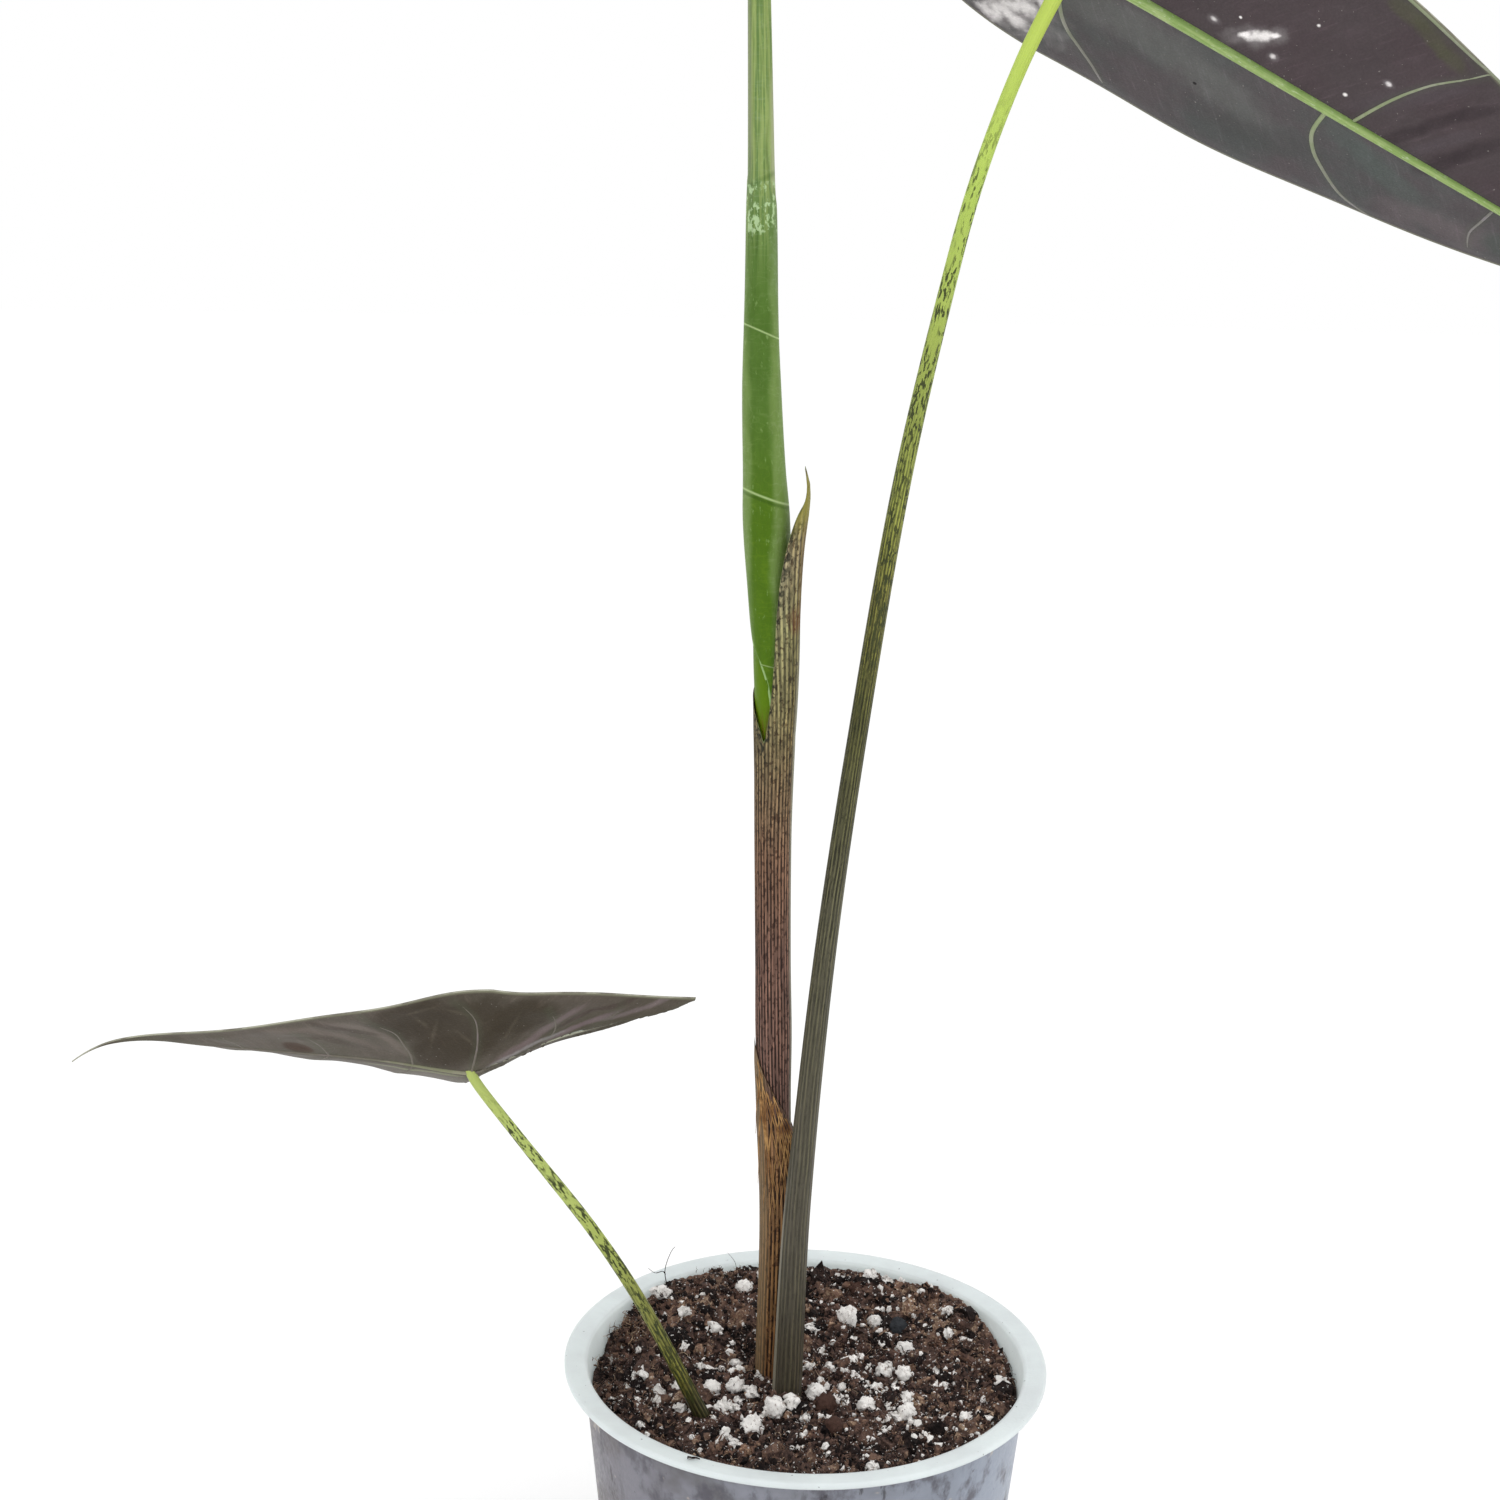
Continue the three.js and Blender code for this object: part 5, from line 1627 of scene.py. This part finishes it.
def small_veins():
    """Paths over the small blade's plan, as for the large one"""
    width, depth = SMALL_LEAF["midrib"]
    thin, low = SMALL_LEAF["vein"]
    veins = [
        (vein_path([(0, 0), (6, 0), (12, 0), (22, 0)]), width * 0.8, depth * 0.8, 0.55, 0.4),
        (vein_path([(10, 0), (25, 0), (45, 0), (60, 0), (70, 0)]), width * 0.6, depth * 0.4, 0.3, 0.0),
    ]
    families = [
        [(0, 0), (0.1, 5.4), (0.4, 9.9), (1.8, 16), (4.7, 20.1), (7.4, 22.2)],
        [(12, 0), (13, 4.2), (14.9, 7.7), (17.2, 11.9), (20.8, 14.9), (25, 18.6)],
        [(29, 0), (30.5, 3.5), (33, 7), (37, 10.5)],
        [(46, 0), (47.5, 2.4), (50.5, 4.6)],
    ]
    for side in (1, -1):
        veins += [(vein_path(points, side), thin * 0.9, low * 0.8, 0.15, 0.0) for points in families]
    branches = (
        [(-13.5, 4.8), (-15.3, 8.4), (-14.5, 13.7), (-12.1, 18.9)], [(-24, 9), (-27, 13), (-27.5, 16.5)],
    )
    return veins + lobe_veins(SMALL_LEAF, [(0, 0), (-14.5, 4.8), (-30, 9.6), (-42, 11.8)], branches, 0.15)


# Marks on the undersides, as painted takes them
BIG_MARKS = (
    ((92, 93, 91), 0.6, 0.9, 0.3, 0.6, stroke(4.6, (5, 9), (14, 7.6), (25, 8.5), (34, 10), (46, 13))),
    ((66, 67, 66), 0.5, 0.9, 0.3, 0.6, stroke(3.4, (38, 18.5), (48, 17), (56, 14))),
    ((76, 82, 79), 0.7, 0.9, 0.35, 0.5, stroke(2.8, (58.5, 3.6), (65.2, 5.4), (70.6, 8), (78, 9.5))),
    ((94, 86, 88), 0.6, 0.9, 0.35, 0.6, stroke(3, (76, 16), (84.8, 12.4), (90.4, 11.4), (95, 9.4))),
    ((66, 74, 69), 0.6, 0.9, 0.35, 0.5, ((97.5, 8.7, 3.2, 2.6, 0),)),
    ((80, 72, 76), 0.55, 0.9, 0.4, 0.6, stroke(1.9, (60.5, -5), (67.9, -11.9), (73, -16.6))),
    ((80, 72, 76), 0.55, 0.9, 0.4, 0.6, stroke(1.2, (71.5, 0.3), (75.4, -4.5), (80, -10.4))),
    ((52, 44, 47), 0.6, 0.9, 0.4, 0.5, stroke(1.3, (67.9, -1.4), (71.8, -6), (75.2, -11.1), (80.1, -16.1))),
    ((52, 44, 47), 0.6, 0.9, 0.4, 0.5, stroke(1.6, (76.4, 1.2), (80.2, -4.8), (84.7, -10.7))),
    ((78, 80, 58), 0.5, 0.8, 0.5, 0.5, stroke(1.3, (54, -23.6), (60.4, -22.8), (66.2, -20.8), (70.4, -20))),
    # Painted reflections: grey halos round the two white highlight patches
    ((150, 146, 146), 0.6, 2.0, 0.3, 0.95, ((-6, 22.5, 7.5, 5, -10), (36.6, -5.6, 4, 1.6, -32))),
    # Painted highlights: white glossy reflections near the petiole's junction
    ((224, 220, 219), 0.8, 2.2, 0.5, 0.9, (
        (-9, 23.9, 3, 1.6, -20), (-5, 24.4, 2.4, 1.4, 0), (-4, 19, 2.4, 1.5, 30), (-1.8, 15.4, 2, 1.2, 20),
        (-10.8, 26.7, 2.4, 1.5, 0), (-6.5, 20.6, 2.2, 1.2, -30),
    )),
    # Painted highlights: a white glossy patch and small glints round it
    ((244, 240, 238), 0.9, 1.6, 0.8, 0.75, (
        (37, -5.9, 2.5, 0.85, -32), (34.6, -4.6, 1, 0.5, -32), (39.4, -7.4, 0.7, 0.4, -32),
        (28, -4.2, 0.5, 0.3, 0),
        (32.1, -7.1, 0.25, 0.2, 0), (41.1, -3.7, 0.5, 0.34, 0), (45.1, -13.2, 0.3, 0.24, 0),
        (56.3, -4.4, 0.36, 0.28, 0), (61.8, -10.5, 0.5, 0.3, 0),
    )),
    # Painted reflections: grey halos round three of the small highlights
    ((150, 144, 146), 0.4, 1.0, 0.9, 0.9, (
        (28, -4.2, 1, 0.6, 0), (41.1, -3.7, 0.9, 0.6, 0), (61.8, -10.5, 0.9, 0.5, 0),
    )),
    ((14, 12, 12), 0.9, 0.3, 0.9, 0.3, ((31.5, 13, 0.42, 0.36, 0),)),
)
SMALL_MARKS = (
    ((56, 48, 36), 0.8, 0.6, 0.25, 0.35, (
        (4, 14, 13, 9, 0), (14.5, 17, 8.5, 6.5, 0), (-7.5, 16.5, 6.5, 6, 0), (7, 6, 7.5, 5.5, -20),
    )),
    ((118, 104, 104), 0.7, 0.9, 0.5, 0.6, stroke(1.1, (-5, 3.2), (-11, 7.1), (-15.6, 13.5), (-18.8, 16.4))),
    ((122, 107, 110), 0.65, 0.9, 0.5, 0.6, stroke(0.8, (-14.3, 5.4), (-20.3, 9.1), (-27.1, 13.7))),
    ((122, 110, 110), 0.65, 0.9, 0.5, 0.6, stroke(0.8, (-24.8, 11.1), (-33, 13.8), (-40, 16))),
    ((70, 58, 54), 0.6, 0.9, 0.5, 0.5, stroke(0.8, (-15, 9.5), (-22, 14.8), (-30, 17))),
    ((108, 98, 90), 0.6, 0.9, 0.5, 0.6, stroke(1.2, (31.5, 14.8), (24.1, 14), (17.9, 9.2), (13.6, 4.4))),
    ((108, 98, 90), 0.55, 0.9, 0.5, 0.6, stroke(1, (42, 10.3), (34.9, 12.1), (27.2, 9.3), (21.2, 5.7))),
    ((70, 60, 52), 0.6, 0.9, 0.5, 0.5, stroke(0.9, (20.5, 11), (27.5, 12.4), (34, 14.6))),
    ((70, 60, 52), 0.5, 0.9, 0.5, 0.5, stroke(1, (26, 5.5), (31, 8.6), (38.2, 7.6))),
    ((88, 80, 66), 0.4, 2.0, 0.9, 0.9, (
        (6, 19, 2.6, 0.4, 20), (9.5, 12, 0.4, 3, 0), (3, 11, 2.4, 0.4, 40), (-6, 14, 0.4, 2.8, 10),
        (14, 19.5, 2.6, 0.4, -20), (12.5, 15.5, 2.2, 0.4, 50),
    )),
    # Painted highlight: a pale strip beside the near lobe's vein, next to the petiole
    ((150, 146, 146), 0.6, 1.0, 0.9, 0.8, stroke(0.5, (-4, 2.2), (-8, 3.9), (-12.5, 6), (-17, 7.6))),
    ((128, 124, 116), 0.5, 1.4, 0.5, 0.8, ((8, -4, 9, 3, 0), (-4, -5, 6, 4, 0))),
    ((66, 49, 38), 0.9, 0.3, 0.6, 0.25, ((35.4, 2.6, 3.3, 1.9, 27),)),
    ((140, 144, 116), 0.6, 0.4, 0.6, 0.5, stroke(0.45, (1.9, -1.6), (7.8, -1.4), (14.4, -2.4), (21.2, -2.7))),
)


def under_skin(name, shades, marks):
    """Underside: purple-grey with soft dark and pale streaks along the laterals, painted shade and sheen of
    the quilting between them, and pale at the margin
    """
    look = Look(name + " underside", Roughness=0.5, Specular_IOR_Level=0.15)
    x, y, room = look.read(LAY).parts()
    away = look.read(NEAR, "Fac")
    flat = x.joined(y)
    main, cloud, far = shades
    shown = flat.mottle((0.05, 0.07, 1), 0.36, 0.66).between(main, cloud)
    shown = shown.toward(far, (1 - y.step(-2, 1)) * 0.8)
    shown = flat.painted(shown, marks)
    sweep = flat.vector("ABSOLUTE").turned(-radians(52))
    # Painted shade and sheen: darker and paler streaks along the laterals, where the quilted blade would be
    # shaded and lit
    streaks = sweep.mottle((0.06, 0.18, 1), 0.4, 0.66, 3)
    shown = shown.tinted(streaks * 0.35, 0.78, 0.75, 0.77)
    pale = sweep.mottle((0.1, 0.34, 1), 0.54, 0.76, 3)
    shown = shown.tinted(pale * 0.4, 1.35, 1.32, 1.38)
    cloudy = flat.mottle((0.5, 0.5, 1), 0.4, 0.68, 5)
    shown = shown.tinted(cloudy * 0.22, 1.3, 1.28, 1.3)
    grain = flat.mottle((2.2, 2.2, 1), 0.4, 0.7, 3)
    shown = shown.tinted(grain * 0.35, 1.35, 1.35, 1.35)
    lengthwise = sweep.mottle((0.12, 1.4, 1), 0.55, 0.7, 4)
    shown = shown.tinted(lengthwise * away.step(0.5, 2) * 0.45, 1.5, 1.42, 1.5)
    net = {"Vector": flat, "Scale": 0.7}
    cells = 1 - flat.node("ShaderNodeTexVoronoi", net, "Distance", feature="DISTANCE_TO_EDGE").step(0, 0.1)
    shown = shown.tinted(cells * 0.12, 0.6, 0.58, 0.6)
    dots = flat.mottle((1.5, 1.5, 1), 0.735, 0.77, 1)
    shown = shown.toward((170, 164, 158), dots * 0.35)
    halo = 1 - away.step(0.2, 1.6)
    shown = shown.toward((86, 98, 76), halo * 0.15)
    rim = 1 - room.step(0.12, 0.75)
    shown = shown.toward((130, 130, 108), rim * 0.75)
    relief = grain * 0.3 + streaks * 0.6
    return look.finish(shown, relief, 0.06)


def upper_skin(looks, name):
    """Upper face: dark green, silvery along the veins"""
    look = Look(name + " upper face", Roughness=0.33)
    x, y, room = look.read(LAY).parts()
    away = look.read(NEAR, "Fac")
    flat = x.joined(y)
    shown = flat.mottle((0.05, 0.08, 1), 0.38, 0.65).between(looks.upper, (46, 78, 52))
    halo = 1 - away.step(0.5, 3.2)
    shown = shown.toward((98, 122, 96), halo * 0.35)
    line = 1 - away.step(0.35, 1.1)
    shown = shown.toward(looks.silver, line * 0.85)
    rim = 1 - room.step(0.1, 0.8)
    shown = shown.toward((150, 168, 118), rim * 0.7)
    grain = flat.mottle((1.6, 1.6, 1), 0.35, 0.7, 4)
    relief = grain * 0.4 + line * -1.2
    return look.finish(shown, relief, 0.06)


def vein_skin(name, green, grey):
    """Veins below: pale on the lower flank and darker on the upper one, as painted light and shade on the
    round rib, and grey where they run out
    """
    look = Look(name + " veins", Roughness=0.5)
    x, y, across = look.read(LAY).parts()
    fresh = look.read(NEAR, "Fac")
    place = look.place()
    leafy = fresh.step(0.1, 0.8)
    old = fresh.step(0.6, 0.9)
    lanes = (x * 0.12).joined(across * 2.4, y)
    streaks = lanes.mottle((1, 1, 0.1), 0.4, 0.62, 4)
    shown = leafy.between(grey, green)
    shown = shown.tinted(streaks * old * 0.75, 0.66, 0.78, 0.55)
    patchy = place.mottle((260, 260, 260), 0.46, 0.66)
    shown = shown.tinted(patchy * 0.6, 1.35, 1.22, 1.55)
    ends = (x * 0.6).joined(across * 3, y)
    glints = ends.mottle((1, 1, 0.1), 0.58, 0.66, 3)
    shown = shown.toward((196, 208, 176), glints * old * 0.5)
    # Painted light and shade: the rib's lower flank lighter and its upper flank darker
    lower = across.step(0.4, 0.85) * old
    shown = shown.toward((168, 180, 148), lower * 0.7)
    upper = (1 - across.step(-0.9, -0.45)) * old
    shown = shown.toward((104, 132, 66), upper * 0.6)
    return look.finish(shown, place.mottle((1100, 1100, 1100), 0.3, 0.7), 0.04)


def edge_skin(name):
    """The thin cut margin: pale, with darker patches"""
    look = Look(name + " margin", Roughness=0.5)
    patchy = look.place().mottle((120, 120, 120), 0.4, 0.65)
    return look.finish(patchy.between((168, 168, 150), (112, 108, 96)))


# Carried-over nodes

class ALOCASIA_OT_rhizome(bpy.types.Operator):
    """Give the buried rhizome its bark"""

    bl_idname = "alocasia.rhizome"
    bl_label = "Rhizome"

    def execute(self, context):
        look = Look("Rhizome bark", Roughness=0.8)
        place = look.place()
        rings = place.mottle((60, 60, 420), 0.4, 0.62)
        shown = rings.between((120, 86, 60), (70, 48, 36))
        material = look.finish(shown, rings, 0.3)
        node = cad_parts["rhizome"]
        node.data.materials.clear()
        node.data.materials.append(material)
        return {"FINISHED"}


# Stage

class ALOCASIA_OT_stage(bpy.types.Operator):
    """Set the pale floor, the soft light and the camera"""

    bl_idname = "alocasia.stage"
    bl_label = "Stage"

    def execute(self, context):
        scene, stage = context.scene, context.scene.alocasia_stage
        bm = bmesh.new()
        bmesh.ops.create_circle(bm, cap_ends=True, radius=12, segments=96)
        mesh = bpy.data.meshes.new("floor")
        bm.to_mesh(mesh)
        bm.free()
        floor = bpy.data.objects.new("floor", mesh)
        scene.collection.objects.link(floor)
        look = Look(
            "Pale floor", Roughness=0.9, Specular_IOR_Level=0, Emission_Color=(1, 1, 1, 1),
            Emission_Strength=0.06,
        )
        paint = look.place().mottle((3, 3, 3), 0.3, 0.7, 2)
        mesh.materials.append(look.finish(paint.between(stage.backdrop, (249, 249, 249))))

        world = bpy.data.worlds.new("Daylight")
        world.use_nodes = True
        sky = world.node_tree.nodes["Background"]
        sky.inputs["Color"].default_value = (1, 1, 1, 1)
        sky.inputs["Strength"].default_value = stage.daylight
        scene.world = world

        for name, place, size, power in (
            ("key", (0.6, -0.8, 1.4), 0.9, stage.lamp), ("fill", (-1.2, -0.6, 0.6), 0.8, stage.lamp * 0.2),
        ):
            lamp = bpy.data.lights.new(name, "AREA")
            lamp.shape, lamp.size, lamp.energy = "DISK", size, power
            holder = bpy.data.objects.new(name, lamp)
            holder.location = place
            holder.rotation_euler = (Vector((0, 0, 0.22)) - Vector(place)).to_track_quat("-Z", "Y").to_euler()
            scene.collection.objects.link(holder)

        camera = bpy.data.cameras.new("camera")
        camera.lens, camera.sensor_width = stage.lens, 36
        camera.clip_start, camera.clip_end = 0.02, 60
        holder = bpy.data.objects.new("camera", camera)
        tilt = Matrix.Rotation(pi / 2 - stage.camera_dip, 4, "X") @ Matrix.Rotation(stage.camera_roll, 4, "Z")
        holder.matrix_world = Matrix.Translation(stage.camera_place) @ tilt
        scene.collection.objects.link(holder)
        scene.camera = holder
        scene.view_settings.view_transform = "Standard"
        return {"FINISHED"}


class ALOCASIA_PT_panel(bpy.types.Panel):
    """Lists the pieces and their settings"""

    bl_label = "Potted alocasia"
    bl_space_type = "VIEW_3D"
    bl_region_type = "UI"
    bl_category = "Alocasia"

    def draw(self, context):
        for operator in OPERATORS:
            self.layout.operator(operator.bl_idname)
        for name, settings in SETTINGS.items():
            box = self.layout.box()
            for key in settings.__annotations__:
                box.prop(getattr(context.scene, name), key)


SETTINGS = {
    "alocasia_pot": PotSettings, "alocasia_soil": SoilSettings, "alocasia_stems": StemSettings,
    "alocasia_leaves": LeafSettings, "alocasia_stage": StageSettings,
}
OPERATORS = (
    ALOCASIA_OT_stage, ALOCASIA_OT_pot, ALOCASIA_OT_soil, ALOCASIA_OT_grains, ALOCASIA_OT_rhizome,
    ALOCASIA_OT_petioles, ALOCASIA_OT_sheaths, ALOCASIA_OT_rolled_leaf, ALOCASIA_OT_leaves,
)
CLASSES = (*SETTINGS.values(), *OPERATORS, ALOCASIA_PT_panel)


def register():
    for cls in CLASSES:
        bpy.utils.register_class(cls)
    for name, settings in SETTINGS.items():
        setattr(bpy.types.Scene, name, PointerProperty(type=settings))


def unregister():
    for name in SETTINGS:
        delattr(bpy.types.Scene, name)
    for cls in reversed(CLASSES):
        bpy.utils.unregister_class(cls)


def main():
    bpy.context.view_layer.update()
    register()
    for operator in OPERATORS:
        category, name = operator.bl_idname.split(".")
        getattr(getattr(bpy.ops, category), name)()
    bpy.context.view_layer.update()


if __name__ == "__main__":
    main()
